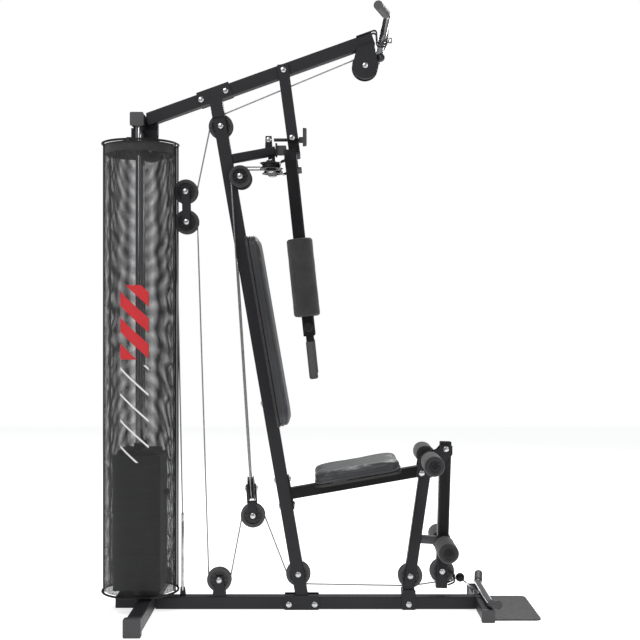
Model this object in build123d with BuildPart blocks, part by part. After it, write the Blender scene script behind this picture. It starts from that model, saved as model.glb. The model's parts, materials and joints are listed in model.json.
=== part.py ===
from math import acos, atan2, cos, hypot, pi, sin
import os

from build123d import *

os.makedirs("parts", exist_ok=True)

# ---- driving sizes, millimetres; +X is the user's side, +Z up ----
TUBE = 45.0              # main frame tube, square
SLIM = 40.0              # seat, swing and lever tube, square
WALL = 2.5
CORNER = 4.0             # outer corner radius of a square tube
PLATE = 5.0              # bracket plate thickness
FIT = 0.05               # radial clearance of a shaft in its hole
GAP = 0.4                # clearance between pieces that only meet
SHANK = 5.0              # bolt and axle radius
HEAD = 10.5              # dome head radius
HEAD_RISE = 6.0

PULLEY = 44.0            # rim radius
PULLEY_WIDTH = 22.0
CABLE = 2.5              # cable radius
RUN = 38.0               # radius of the cable's centre on a pulley
SMALL_RUN = 33.0         # the same on the four butterfly pulleys
RIM_LIP = PULLEY - RUN   # how far a rim stands above the cable's centre
SPOKES = 9

BASE_Z = 24.5            # centre height of the base tube
BASE_TOP = BASE_Z + TUBE / 2
REAR_X = -604.0
REAR_TUBE = 50.0
REAR_Z = 31.0
REAR_HALF = 390.0
FRONT_X = 587.0
FRONT_HALF = 200.0
FOOT_CAP = (59.0, 25.0, 63.0)
FRONT_CAP = (46.0, 14.0, 44.0)
STEP_END = 776.0         # front edge of the foot plate
STEP_HALF = 170.0
STEP_THICK = 5.0

UPRIGHT_FOOT = (-54.0, 0, 40.0)
UPRIGHT_HEAD = (-366.7, 0, 1844.3)
BOOM_REAR = (-613.0, 0, 1756.0)
BOOM_FRONT = (200.0, 0, 2048.0)
HEAD_X = -635.0          # cross tube over the guide rods
HEAD_Z = 1746.0
HEAD_HALF = 96.0
POST_FOOT = (322.0, 0, 40.0)
POST_HEAD = (391.0, 0, 515.0)
SEAT_REAR = (-100.0, 0, 414.0)
SEAT_FRONT = (392.0, 0, 500.0)

# guided weights and their round shroud
STACK_X = -636.0
ROD_Y = 60.0
ROD = 8.5
STACK_SIZE = (168.0, 184.0)
STACK_FLOOR = 84.0
PLATE_COUNT = 12
PLATE_PITCH = 39.6
LIFTED = 4
STACK_TOP = STACK_FLOOR + PLATE_COUNT * PLATE_PITCH
DECK_TOP = 64.0
NET = 131.5              # outer radius of the net
NET_THICK = 1.5
NET_FOOT = 68.0
NET_HEAD = 1669.0
BAND = 38.0              # height of the close-woven band round the top
SLIT_ANGLE = 17.0        # half angle of the slit that the cable travels in
HOOP = 4.0

# pulley centres, X and Z
REAR_TOP = (STACK_X + RUN, 1650.0)
UPRIGHT_TOP = (-346.0, 1733.0)
LAT = (172.0, 1949.0)
FLOAT_HIGH = (-472.0, 1499.0)
FLOAT_LOW = (-469.0, 1390.0)
BASE_PULLEY = (-352.0, 105.0)
UPRIGHT_LOW = (-68.0, 127.0)
POST_PULLEY = (334.0, 120.0)
LEVER_PULLEY = (448.0, 137.0)
BACK_PULLEY = (-275.0, 1550.0)
LEG_Y = RUN              # the butterfly cable hangs this far either side
YOKE_X = -164.0
YOKE_Y = LEG_Y + SMALL_RUN
CROSS_HIGH = (-237.0, 433.0)
CROSS_SPAN = 97.0

CHAIN_X = -484.0
CABLE_START = (CHAIN_X, 345.0)
LAT_BALL = (227.0, 1983.0)
LOW_BALL = (514.0, 112.0)
BALL = 16.0

SWING_PIVOT = (-121.0, 1932.6)
SWING_FOOT = (-80.0, 1629.0)
EAR = 84.0               # from the swing pivot to the top of its tube
EAR_END = 250.0          # from the swing pivot to the foot of its ears
SWING_BOLT = (-90.0, 1690.0)
ARM_Z = 1600.0
ARM_X = -92.0
ARM_LEAN = 6.1
ARM_PIVOT_Y = 50.0
ARM_REACH = 195.0
FOAM = 44.5
LOCK_Z = 1686.0
LOCK = 6.0

LEVER_PIVOT = (461.0, 576.0)
LEVER_FOOT = (446.0, 77.0)
KNEE = (399.0, 541.0)
KNEE_HALF = 250.0        # half length of the knee axle
ANKLE = (452.0, 236.0)
ANKLE_HALF = 205.0
ROLLER = 35.0
ROLLER_LENGTH = 160.0
AXLE = 8.0

BAR = 12.5
GRIP = 15.0
LAT_BAR = (232.0, 2042.0)
LOW_BAR = (600.0, 54.8)


def unit(start, end):
    """The direction from one point to another."""
    return (Vector(*end) - Vector(*start)).normalized()


def face_on(start, end):
    """A plane at start that faces end, its local x along Y wherever that is possible."""
    heading = unit(start, end)
    across = (1, 0, 0) if abs(heading.Y) > 0.9 else (0, 1, 0)
    return Plane(origin=start, x_dir=across, z_dir=heading)


def reach(start, end):
    return (Vector(*end) - Vector(*start)).length


def at_y(centre, y=0.0):
    return (centre[0], y, centre[1])


def tube(start, end, side, wall=WALL):
    """Add a hollow square tube."""
    with BuildSketch(face_on(start, end)) as section:
        RectangleRounded(side, side, CORNER)
        RectangleRounded(side - 2 * wall, side - 2 * wall, CORNER - wall, mode=Mode.SUBTRACT)
    extrude(section.sketch, amount=reach(start, end))


def bar_cut(start, end, side):
    """Cut away where a square tube of the same outside passes."""
    with BuildSketch(face_on(start, end)) as section:
        RectangleRounded(side, side, CORNER)
    extrude(section.sketch, amount=reach(start, end), mode=Mode.SUBTRACT)


def rod(start, end, radius, mode=Mode.ADD):
    with BuildSketch(face_on(start, end)) as section:
        Circle(radius)
    extrude(section.sketch, amount=reach(start, end), mode=mode)


def pipe(start, end, outer, inner):
    with BuildSketch(face_on(start, end)) as section:
        Circle(outer)
        Circle(inner, mode=Mode.SUBTRACT)
    extrude(section.sketch, amount=reach(start, end))


def block(low, high, mode=Mode.ADD):
    """Add or cut a box between two corners."""
    with BuildSketch(Plane.XY.offset(low[2])) as section:
        with Locations(((low[0] + high[0]) / 2, (low[1] + high[1]) / 2)):
            Rectangle(high[0] - low[0], high[1] - low[1])
    extrude(section.sketch, amount=high[2] - low[2], mode=mode)


def side_plate(outline, y_low, y_high, round_corners=0.0, mode=Mode.ADD):
    """Add a plate whose outline lies in X and Z, between two Y values."""
    with BuildSketch(Plane.XZ.offset(-y_low)) as section:
        Polygon(*outline, align=None)
        if round_corners:
            fillet(section.vertices(), radius=round_corners)
    extrude(section.sketch, amount=y_low - y_high, mode=mode)


def plate_pair(outline, inside, round_corners=0.0):
    """Add a plate on each side of a tube or a pulley."""
    side_plate(outline, inside, inside + PLATE, round_corners)
    side_plate(outline, -inside - PLATE, -inside, round_corners)


def strap(points, y_low, y_high, radii, thickness=4.0):
    """Add a bent flat strip that follows a line in X and Z."""
    with BuildLine(Plane.XZ.offset(-(y_low + y_high) / 2)) as path:
        FilletPolyline(*points, radius=radii)
    start = path.line @ 0
    with BuildSketch(Plane(origin=start, x_dir=(0, 1, 0), z_dir=path.line % 0)) as section:
        Rectangle(y_high - y_low, thickness)
    sweep(section.sketch, path=path.line)


def bolt_holes(centres, half, radius=SHANK):
    """Drill across a piece for each bolt that runs along Y."""
    for centre in centres:
        rod(at_y(centre, -half), at_y(centre, half), radius + FIT, Mode.SUBTRACT)


def turning_plane(centre, axis):
    """A plane through an axis, with its local x radial and its local y along the axis."""
    heading = Vector(*axis).normalized()
    radial = Plane(origin=centre, z_dir=heading).x_dir
    return Plane(origin=centre, x_dir=radial, z_dir=radial.cross(heading))


def turned(centre, axis, outline, mode=Mode.ADD):
    """Revolve an outline of (radius, distance along the axis) points."""
    with BuildSketch(turning_plane(centre, axis)) as profile:
        Polygon(*outline, align=None)
    revolve(profile.sketch, axis=Axis(centre, axis), mode=mode)


def dome(centre, axis):
    """A domed bolt head that stands on a face."""
    crown = [(HEAD * cos(step * pi / 12), HEAD_RISE * (0.3 + 0.7 * sin(step * pi / 12))) for step in range(6)]
    turned(centre, axis, [(0, 0), (HEAD, 0), *crown, (0, HEAD_RISE)])


def axle_ends(centre, half):
    """The pressed caps at the two ends of an axle."""
    for side in (-1, 1):
        turned(at_y(centre, side * half), (0, side, 0), [(0, 0), (15, 0), (15, 3), (8, 7), (0, 7)])


def cross_bolt(centre, half, spacer=0.0):
    """A bolt along Y with a dome at each end and a sleeve each side of a pulley."""
    rod(at_y(centre, -half), at_y(centre, half), SHANK)
    dome(at_y(centre, half), (0, 1, 0))
    dome(at_y(centre, -half), (0, -1, 0))
    if spacer:
        for side in (-1, 1):
            rod(at_y(centre, side * (PULLEY_WIDTH / 2 + GAP)), at_y(centre, side * spacer), HEAD - 2)


def build_pulley(centre, axis, run):
    """A spoked pulley whose groove seats a cable at radius run."""
    rim = run + RIM_LIP
    half = PULLEY_WIDTH / 2
    root = run - CABLE - GAP / 2
    web = half * 0.45
    outline = [
        (SHANK + FIT, -half), (SHANK + 7, -half), (SHANK + 7, -web), (root - 4, -web),
        (root - 4, -half), (rim - 1, -half), (rim, -half + 1), (root, -CABLE - GAP),
        (root, CABLE + GAP), (rim, half - 1), (rim - 1, half), (root - 4, half),
        (root - 4, web), (SHANK + 7, web), (SHANK + 7, half), (SHANK + FIT, half),
    ]
    with BuildPart() as pulley:
        turned(centre, axis, outline)
        with BuildSketch(Plane(origin=centre, z_dir=axis)) as spokes:
            with PolarLocations((SHANK + root) / 2 + 1, SPOKES):
                Rectangle(root - SHANK - 9, 3)
        extrude(spokes.sketch, amount=half - 1.5, both=True)
    return pulley.part


def tangent(first, second):
    """Where a straight run leaves one circle and meets the next; a positive radius is passed on its left."""
    (x1, z1, r1), (x2, z2, r2) = first, second
    normal = atan2(z2 - z1, x2 - x1) + acos((r1 - r2) / hypot(x2 - x1, z2 - z1))
    nx, nz = cos(normal), sin(normal)
    return (x1 + r1 * nx, z1 + r1 * nz), (x2 + r2 * nx, z2 + r2 * nz)


def wrap_middle(circle, arrive, leave):
    """The middle of the arc that a cable follows round a pulley."""
    x, z, radius = circle
    first = atan2(arrive[1] - z, arrive[0] - x)
    last = atan2(leave[1] - z, leave[0] - x)
    if radius > 0:
        middle = first - ((first - last) % (2 * pi)) / 2
    else:
        middle = first + ((last - first) % (2 * pi)) / 2
    return (x + abs(radius) * cos(middle), z + abs(radius) * sin(middle))


def belt(stations):
    """Add the straight runs and the arcs of a cable that passes these circles in turn."""
    runs = [tangent(a, b) for a, b in zip(stations, stations[1:])]
    for start, end in runs:
        Line(start, end)
    for circle, before, after in zip(stations[1:], runs, runs[1:]):
        ThreePointArc(before[1], wrap_middle(circle, before[1], after[0]), after[0])


def sheath(path):
    """Sweep a cable's round section along its route."""
    with BuildSketch(Plane(origin=path @ 0, z_dir=path % 0)) as section:
        Circle(CABLE)
    sweep(section.sketch, path=path)


def ring_link(centre, heading, side, length, width, wire):
    """A closed link: heading is its long way, side the other way in its plane."""
    with BuildSketch(Plane(origin=centre, x_dir=heading, z_dir=Vector(*heading).cross(Vector(*side)))) as loop:
        SlotOverall(length, width)
        SlotOverall(length - 2 * wire, width - 2 * wire, mode=Mode.SUBTRACT)
    extrude(loop.sketch, amount=wire / 2, both=True)


def save(part, name):
    part.label = name
    export_step(part, f"parts/{name}.step")


UPRIGHT_SLOPE = unit(UPRIGHT_FOOT, UPRIGHT_HEAD)
BOOM_SLOPE = unit(BOOM_REAR, BOOM_FRONT)
BACK_NORMAL = Vector(UPRIGHT_SLOPE.Z, 0, -UPRIGHT_SLOPE.X)
SEAT_BOLTS = (429.0, 336.0)     # distances up the upright
PAD_BOLTS = (1232.0, 709.0)


def beside_upright(distance, out):
    """A point so far up the upright, and so far in front of its middle."""
    return Vector(*UPRIGHT_FOOT) + UPRIGHT_SLOPE * distance + BACK_NORMAL * out


def upright_holes(distances):
    for distance in distances:
        rod(beside_upright(distance, -TUBE), beside_upright(distance, TUBE), SHANK + FIT, Mode.SUBTRACT)


# ---- base ----
FRAME_BOLTS = [(-101.0, 21.0), (-9.0, 21.0), (328.0, 21.0)]
PIVOT_BOLTS = [(-416.0, 1826.0), (-328.0, 1858.0)]
TUBE_PULLEYS = [UPRIGHT_TOP, UPRIGHT_LOW]


def pulley_well(centre, half=PULLEY_WIDTH / 2 + 2):
    """Cut the slot that a pulley turns in."""
    rod(at_y(centre, -half), at_y(centre, half), PULLEY + 9, Mode.SUBTRACT)


def build_base_tube():
    with BuildPart() as base:
        tube((REAR_X + REAR_TUBE / 2, 0, BASE_Z), (FRONT_X - SLIM / 2, 0, BASE_Z), TUBE)
        bolt_holes(FRAME_BOLTS, TUBE)
    return base.part


def build_base_brackets():
    x, z = BASE_PULLEY
    inside = PULLEY_WIDTH / 2 + 2
    ear = [(x - 24, BASE_TOP), (x + 24, BASE_TOP), (x + 14, z + 14), (x - 14, z + 14)]
    anchor = [(CHAIN_X - 10, BASE_TOP), (CHAIN_X + 12, BASE_TOP), (CHAIN_X + 8, 78), (CHAIN_X - 8, 78)]
    toe = [(-118, 1), (6, 1), (6, BASE_TOP + 5), (-118, BASE_TOP + 5)]
    shoe = [(303, 1), (352, 1), (352, 72), (303, 72)]
    with BuildPart() as brackets:
        plate_pair(ear, inside, 4)
        side_plate(anchor, -3, 3)
        rod((CHAIN_X, -4, 69), (CHAIN_X, 4, 69), 5, Mode.SUBTRACT)
        plate_pair(toe, TUBE / 2, 4)
        plate_pair(shoe, TUBE / 2, 4)
        bolt_holes(FRAME_BOLTS + [BASE_PULLEY], TUBE)
    return brackets.part


def build_rear_stabiliser():
    deck_low = REAR_Z + REAR_TUBE / 2
    edge = REAR_HALF - FOOT_CAP[1]
    with BuildPart() as rear:
        tube((REAR_X, -edge, REAR_Z), (REAR_X, edge, REAR_Z), REAR_TUBE)
        block((STACK_X - 74, -92, deck_low), (STACK_X + 74, 92, DECK_TOP))
        block((STACK_X - 74, -92, BASE_Z), (REAR_X - REAR_TUBE / 2, -86, deck_low))
        block((STACK_X - 74, 86, BASE_Z), (REAR_X - REAR_TUBE / 2, 92, deck_low))
    return rear.part


def build_front_stabiliser():
    edge = FRONT_HALF - FRONT_CAP[1]
    middle = FRONT_CAP[2] / 2
    with BuildPart() as front:
        tube((FRONT_X, -edge, middle), (FRONT_X, edge, middle), SLIM)
    return front.part


def build_foot_plate():
    rear = FRONT_X + SLIM / 2
    with BuildPart() as step:
        block((rear, -STEP_HALF, 0), (STEP_END, STEP_HALF, STEP_THICK))
        fillet(step.edges().filter_by(Axis.Z).sort_by(Axis.X)[-2:], radius=22)
        block((rear, -STEP_HALF + 12, STEP_THICK), (rear + STEP_THICK, STEP_HALF - 12, 26))
    return step.part


def build_end_caps():
    with BuildPart() as caps:
        for side in (-1, 1):
            outer, inner = side * REAR_HALF, side * (REAR_HALF - FOOT_CAP[1])
            low, high = sorted((outer, inner))
            block((REAR_X - FOOT_CAP[0] / 2, low, 0), (REAR_X + FOOT_CAP[0] / 2, high, FOOT_CAP[2]))
            outer, inner = side * FRONT_HALF, side * (FRONT_HALF - FRONT_CAP[1])
            low, high = sorted((outer, inner))
            block((FRONT_X - FRONT_CAP[0] / 2, low, 0), (FRONT_X + FRONT_CAP[0] / 2, high, FRONT_CAP[2]))
            low, high = sorted((side * HEAD_HALF, side * (HEAD_HALF - 8)))
            block((HEAD_X - 24, low, HEAD_Z - 24), (HEAD_X + 24, high, HEAD_Z + 24))
        fillet(caps.edges().filter_by(Axis.Y), radius=5)
    return caps.part


# ---- tall frame ----
def build_upright():
    with BuildPart() as upright:
        tube(UPRIGHT_FOOT, UPRIGHT_HEAD, TUBE)
        bar_cut(BOOM_REAR, BOOM_FRONT, TUBE)
        block((-300, -60, 0), (200, 60, BASE_TOP), Mode.SUBTRACT)
        for centre in TUBE_PULLEYS:
            pulley_well(centre)
        bolt_holes(TUBE_PULLEYS, TUBE)
        upright_holes(SEAT_BOLTS + PAD_BOLTS)
    return upright.part


def build_boom():
    with BuildPart() as boom:
        tube(BOOM_REAR, BOOM_FRONT, TUBE)
        block((HEAD_X - 60, -60, 1600), (HEAD_X + TUBE / 2, 60, 1900), Mode.SUBTRACT)
        bolt_holes(PIVOT_BOLTS, TUBE)
        bolt_holes([SWING_PIVOT], TUBE, 7)
    return boom.part


def build_boom_plates():
    x, z = LAT
    along, middle = BOOM_SLOPE, Vector(*UPRIGHT_HEAD)
    with BuildPart() as plates:
        for side in (-1, 1):
            face = Plane(origin=middle + Vector(0, side * TUBE / 2, 0), x_dir=along, z_dir=(0, side, 0))
            with BuildSketch(face) as gusset:
                with Locations((0, -side * 2)):
                    Rectangle(122, TUBE + 6)
            extrude(gusset.sketch, amount=PLATE)
            stem = Plane(origin=middle + Vector(0, side * TUBE / 2, 0), x_dir=UPRIGHT_SLOPE, z_dir=(0, side, 0))
            with BuildSketch(stem) as tongue:
                with Locations((-40, 0)):
                    Rectangle(80, TUBE)
            extrude(tongue.sketch, amount=PLATE)
        for side in (-1, 1):
            low, high = sorted((side * TUBE / 2, side * (TUBE / 2 + PLATE)))
            with BuildSketch(Plane.XZ.offset(-low)) as hanger:
                with Locations((x, z)):
                    Circle(PULLEY + 3)
                Polygon((x - 47, z), (x + 47, z), (x + 30, z + 84), (x - 30, z + 84 - 21), align=None)
            extrude(hanger.sketch, amount=low - high)
        bolt_holes(PIVOT_BOLTS + [LAT], TUBE)
    return plates.part


def build_hook():
    """The forked hook that the high bar rests in."""
    x, z = LAT_BAR
    seat = BAR + 2.2
    points = [(140, 2052.3), (x - 20, z + 36), (x - seat - 2, z - seat - 2), (x + seat + 2, z - seat - 2), (x + 22, z + 36)]
    with BuildPart() as hook:
        for low, high in ((-26, -14), (14, 26)):
            strap(points, low, high, [9, seat, seat])
        bar_cut(BOOM_REAR, BOOM_FRONT, TUBE)
    return hook.part


def build_head():
    """The cross tube over the guide rods, and the plates that carry the rear pulley."""
    x, z = REAR_TOP
    edge = HEAD_HALF - 8
    ear = [(x - 20, z - 20), (x + 20, z - 20), (x + 26, 1720), (x - 26, 1720)]
    inside = PULLEY_WIDTH / 2 + 2
    with BuildPart() as head:
        tube((HEAD_X, -edge, HEAD_Z), (HEAD_X, edge, HEAD_Z), TUBE)
        plate_pair(ear, inside, 4)
        block((x - 26, -inside, 1704), (x + 26, inside, 1709))
        side_plate([(x - 15, 1706), (x + 26, 1706), (x + 26, 1745), (x - 15, 1745)], -inside, inside)
        bar_cut(BOOM_REAR, BOOM_FRONT, TUBE)
        bolt_holes([REAR_TOP], TUBE)
        for side in (-1, 1):
            rod((HEAD_X - 1, side * ROD_Y, 1700), (HEAD_X - 1, side * ROD_Y, 1746), ROD + FIT, Mode.SUBTRACT)
    return head.part


def build_guide_rods():
    with BuildPart() as rods:
        for side in (-1, 1):
            rod((STACK_X, side * ROD_Y, DECK_TOP), (STACK_X, side * ROD_Y, 1740), ROD)
    return rods.part


# ---- seat ----
LEVER_OUTLINE = [(352, 474), (410, 474), (484, 556), (484, 590), (446, 590), (430, 572), (364, 548)]
SEAT_SLOPE = unit(SEAT_REAR, SEAT_FRONT)
POST_BOLTS = [(374.0, 490.0), KNEE, LEVER_PIVOT]


def build_seat_frame():
    """The seat tube, its post, the plate on the upright and the ears that the leg lever hangs from."""
    rise = UPRIGHT_SLOPE
    face = TUBE / 2 / cos(atan2(-rise.X, rise.Z))
    low = (UPRIGHT_FOOT[0] + rise.X / rise.Z * 320 + face, 360)
    high = (UPRIGHT_FOOT[0] + rise.X / rise.Z * 440 + face, 480)
    with BuildPart() as seat:
        tube(SEAT_REAR, SEAT_FRONT, SLIM)
        tube(POST_FOOT, POST_HEAD, SLIM)
        side_plate([low, (low[0] + PLATE, low[1]), (high[0] + PLATE, high[1]), high], -SLIM / 2, SLIM / 2)
        plate_pair(LEVER_OUTLINE, SLIM / 2, 6)
        bar_cut(UPRIGHT_FOOT, UPRIGHT_HEAD, TUBE)
        block((250, -60, 0), (420, 60, BASE_TOP), Mode.SUBTRACT)
        pulley_well(POST_PULLEY)
        bolt_holes(POST_BOLTS + [POST_PULLEY], TUBE)
        bolt_holes([KNEE], TUBE, AXLE)
        upright_holes(SEAT_BOLTS)
    return seat.part


def build_knee_axle():
    with BuildPart() as axle:
        rod(at_y(KNEE, -KNEE_HALF), at_y(KNEE, KNEE_HALF), AXLE)
        axle_ends(KNEE, KNEE_HALF)
    return axle.part


def build_seat_stop():
    """The rubber stop that the leg lever rests on."""
    with BuildPart() as stop:
        rod((POST_FOOT[0] + 50, 0, 250), (LEVER_FOOT[0] - 16.5, 0, 246), 16)
        bar_cut(POST_FOOT, POST_HEAD, SLIM)
    return stop.part


def lying_pad(start, heading, rise, length, width, thick, round_plan, round_top):
    """A cushion on a sloping face, soft-edged on top."""
    plane = Plane(origin=Vector(*start), x_dir=heading, z_dir=rise)
    with BuildPart() as pad:
        with BuildSketch(plane) as outline:
            RectangleRounded(length, width, round_plan)
        extrude(outline.sketch, amount=thick)
        if round_top:
            top = pad.faces().sort_by(Axis(plane.origin, plane.z_dir))[-1]
            fillet(top.edges(), radius=round_top)
    return pad.part


BOARD = 9.0
SEAT_NORMAL = Vector(-SEAT_SLOPE.Z, 0, SEAT_SLOPE.X)
SEAT_MIDDLE = Vector(*SEAT_REAR) + SEAT_SLOPE * 253
BACK_MIDDLE = Vector(*UPRIGHT_FOOT) + UPRIGHT_SLOPE * 966
SEAT_SIZE = (324.0, 300.0, 38.0)
BACK_SIZE = (699.0, 280.0, 34.0)


def build_seat_cushion():
    start = SEAT_MIDDLE + SEAT_NORMAL * (SLIM / 2 + BOARD)
    return lying_pad(start, SEAT_SLOPE, SEAT_NORMAL, *SEAT_SIZE, 55, 16)


def build_back_cushion():
    start = BACK_MIDDLE + BACK_NORMAL * (TUBE / 2 + BOARD)
    return lying_pad(start, UPRIGHT_SLOPE, BACK_NORMAL, *BACK_SIZE, 50, 14)


def build_pad_boards():
    seat_start = SEAT_MIDDLE + SEAT_NORMAL * (SLIM / 2)
    back_start = BACK_MIDDLE + BACK_NORMAL * (TUBE / 2)
    seat = lying_pad(seat_start, SEAT_SLOPE, SEAT_NORMAL, SEAT_SIZE[0] - 16, SEAT_SIZE[1] - 16, BOARD, 48, 0)
    back = lying_pad(back_start, UPRIGHT_SLOPE, BACK_NORMAL, BACK_SIZE[0] - 16, BACK_SIZE[1] - 16, BOARD, 43, 0)
    return Compound(children=[*seat.solids(), *back.solids()])


# ---- shroud ----
def build_net():
    low = SLIT_ANGLE
    with BuildPart() as net:
        with BuildSketch(Plane.XY.offset(NET_FOOT + HOOP)) as wall:
            with BuildLine():
                arc_edge = CenterArc((STACK_X, 0), NET, low, 360 - 2 * low)
                CenterArc((STACK_X, 0), NET - NET_THICK, low, 360 - 2 * low)
                inner_edge = CenterArc((STACK_X, 0), NET - NET_THICK, low, 360 - 2 * low, mode=Mode.PRIVATE)
                Line(arc_edge @ 0, inner_edge @ 0)
                Line(arc_edge @ 1, inner_edge @ 1)
            make_face()
        extrude(wall.sketch, amount=NET_HEAD - BAND - NET_FOOT - HOOP)
    return net.part


def build_band():
    """The close-woven band round the top of the net."""
    low = SLIT_ANGLE
    with BuildPart() as band:
        with BuildSketch(Plane.XY.offset(NET_HEAD - BAND)) as wall:
            with BuildLine():
                outer = CenterArc((STACK_X, 0), NET, low, 360 - 2 * low)
                inner = CenterArc((STACK_X, 0), NET - NET_THICK, low, 360 - 2 * low)
                Line(outer @ 0, inner @ 0)
                Line(outer @ 1, inner @ 1)
            make_face()
        extrude(wall.sketch, amount=BAND - HOOP)
    return band.part


def build_hoops():
    """The round wire hoops, the four upright wires and the straps that hold them."""
    radius = NET + HOOP
    with BuildPart() as hoops:
        for height in (NET_FOOT, NET_HEAD):
            with BuildSketch(Plane(origin=(STACK_X + radius, 0, height), x_dir=(1, 0, 0), z_dir=(0, -1, 0))) as wire:
                Circle(HOOP)
            revolve(wire.sketch, axis=Axis((STACK_X, 0, 0), (0, 0, 1)))
        for angle in (SLIT_ANGLE, -SLIT_ANGLE, 180 - 27, 180 + 27):
            x = STACK_X + radius * cos(angle * pi / 180)
            y = radius * sin(angle * pi / 180)
            rod((x, y, NET_FOOT), (x, y, NET_HEAD), HOOP - 1)
        for x in (STACK_X - 58, STACK_X + 58):
            block((x - 8, -118, DECK_TOP), (x + 8, 118, DECK_TOP + 4))
        near_edge, far_edge = STACK_X - 28, STACK_X - 12
        block((near_edge, -NET - HOOP, NET_HEAD + 2), (far_edge, NET + HOOP, NET_HEAD + 6))
        for side in (-1, 1):
            low, high = sorted((side * 30, side * 34))
            block((near_edge, low, NET_HEAD + 4), (far_edge, high, HEAD_Z - TUBE / 2))
    return hoops.part


# ---- weights ----
def weight(low, count, hole):
    """A run of stacked plates from a height upwards."""
    with BuildPart() as plates:
        for index in range(count):
            floor = low + index * PLATE_PITCH
            with BuildSketch(Plane.XY.offset(floor)) as outline:
                with Locations((STACK_X, 0)):
                    RectangleRounded(*STACK_SIZE, 8)
                    Circle(hole, mode=Mode.SUBTRACT)
                with Locations((STACK_X, ROD_Y), (STACK_X, -ROD_Y)):
                    Circle(ROD + 1, mode=Mode.SUBTRACT)
            extrude(outline.sketch, amount=PLATE_PITCH - GAP)
            pin_z = floor + PLATE_PITCH / 2
            rod((STACK_X, 0, pin_z), (STACK_X + 120, 0, pin_z), PIN + 0.5, Mode.SUBTRACT)
    return plates.part


STEM = 11.0
PIN = 4.5
PIN_Z = STACK_TOP - LIFTED * PLATE_PITCH + PLATE_PITCH / 2


def build_resting_plates():
    return weight(STACK_FLOOR, PLATE_COUNT - LIFTED, STEM + 1)


def build_selected_plates():
    return weight(STACK_TOP - LIFTED * PLATE_PITCH, LIFTED, STEM + 1)


def build_buffers():
    with BuildPart() as buffers:
        for side in (-1, 1):
            pipe((STACK_X, side * ROD_Y, DECK_TOP), (STACK_X, side * ROD_Y, STACK_FLOOR - GAP), 20, ROD + GAP)
    return buffers.part


def build_head_plate():
    """The guided top plate with its selector stem and its yoke."""
    with BuildPart() as head:
        with BuildSketch(Plane.XY.offset(STACK_TOP)) as outline:
            with Locations((STACK_X, 0)):
                RectangleRounded(140, 150, 12)
            with Locations((STACK_X, ROD_Y), (STACK_X, -ROD_Y)):
                Circle(ROD + 1, mode=Mode.SUBTRACT)
        extrude(outline.sketch, amount=16)
        for side in (-1, 1):
            pipe((STACK_X, side * ROD_Y, STACK_TOP + 16), (STACK_X, side * ROD_Y, STACK_TOP + 42), 14, ROD + 1)
        rod((STACK_X, 0, STACK_FLOOR + 4), (STACK_X, 0, STACK_TOP + 60), STEM)
        rod((STACK_X, 0, STACK_TOP + 60), (STACK_X, 0, STACK_TOP + 84), 7)
        rod((STACK_X, 0, PIN_Z), (STACK_X + 60, 0, PIN_Z), PIN + FIT, Mode.SUBTRACT)
    return head.part


def build_selector_pin():
    face = STACK_X + STACK_SIZE[0] / 2
    with BuildPart() as pin:
        rod((STACK_X + 0.5, 0, PIN_Z), (face + 4, 0, PIN_Z), PIN)
        rod((face + 1, 0, PIN_Z), (face + 22, 0, PIN_Z), 11)
        fillet(pin.edges().filter_by(GeomType.CIRCLE).sort_by(Axis.X)[-1], radius=4)
    return pin.part


# ---- travelling pulley blocks ----
def build_float_block():
    inside = PULLEY_WIDTH / 2 + 2
    (x1, z1), (x2, z2) = FLOAT_HIGH, FLOAT_LOW
    link = [(x1 - 14, z1 + 16), (x1 + 14, z1 + 16), (x2 + 14, z2 - 16), (x2 - 14, z2 - 16)]
    with BuildPart() as block_part:
        plate_pair(link, inside, 10)
        bolt_holes([FLOAT_HIGH, FLOAT_LOW], TUBE)
    return block_part.part


LEG_TOP, LEG_END = tangent((*BACK_PULLEY, -SMALL_RUN), (*CROSS_HIGH, 0.0))
LEG_DOWN = unit(at_y(LEG_TOP), at_y(LEG_END))
CROSS_AXIS = Vector(-LEG_DOWN.Z, 0, LEG_DOWN.X)
CROSS_LOW_POINT = Vector(*at_y(CROSS_HIGH)) + LEG_DOWN * CROSS_SPAN
CROSS_LOW = (CROSS_LOW_POINT.X, CROSS_LOW_POINT.Z)


def build_cross_block():
    """The travelling block whose two pulleys stand square to each other."""
    inside = PULLEY_WIDTH / 2 + 2
    flat = Plane(origin=at_y(CROSS_HIGH), x_dir=CROSS_AXIS, z_dir=-LEG_DOWN)
    with BuildPart() as cross:
        for side in (-1, 1):
            with BuildSketch(flat.offset(-52)) as upper:
                with Locations((side * (inside + PLATE / 2), 0)):
                    Rectangle(PLATE, 26)
            extrude(upper.sketch, amount=66)
            with BuildSketch(flat.offset(-CROSS_SPAN - 14)) as lower:
                with Locations((0, side * (inside + PLATE / 2))):
                    Rectangle(28, PLATE)
            extrude(lower.sketch, amount=CROSS_SPAN + 14 - 47)
        with BuildSketch(flat.offset(-52)) as bridge:
            Rectangle(2 * (inside + PLATE), 2 * (inside + PLATE))
        extrude(bridge.sketch, amount=PLATE)
        bolt_holes([CROSS_LOW], TUBE)
        across = Vector(*at_y(CROSS_HIGH))
        rod(across - CROSS_AXIS * 40, across + CROSS_AXIS * 40, SHANK + FIT, Mode.SUBTRACT)
    return cross.part


def build_cross_bolts():
    half = PULLEY_WIDTH / 2 + 2 + PLATE
    across = Vector(*at_y(CROSS_HIGH))
    with BuildPart() as bolts:
        cross_bolt(CROSS_LOW, half)
        rod(across - CROSS_AXIS * half, across + CROSS_AXIS * half, SHANK)
        dome(across + CROSS_AXIS * half, CROSS_AXIS)
        dome(across - CROSS_AXIS * half, -CROSS_AXIS)
    return bolts.part


# ---- press and butterfly station ----
BEAM_REAR = (-330.0, 0, 1613.0)
BEAM_FRONT = (-150.0, 0, 1646.0)
RUN_Z = BACK_PULLEY[1] + SMALL_RUN


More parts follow.
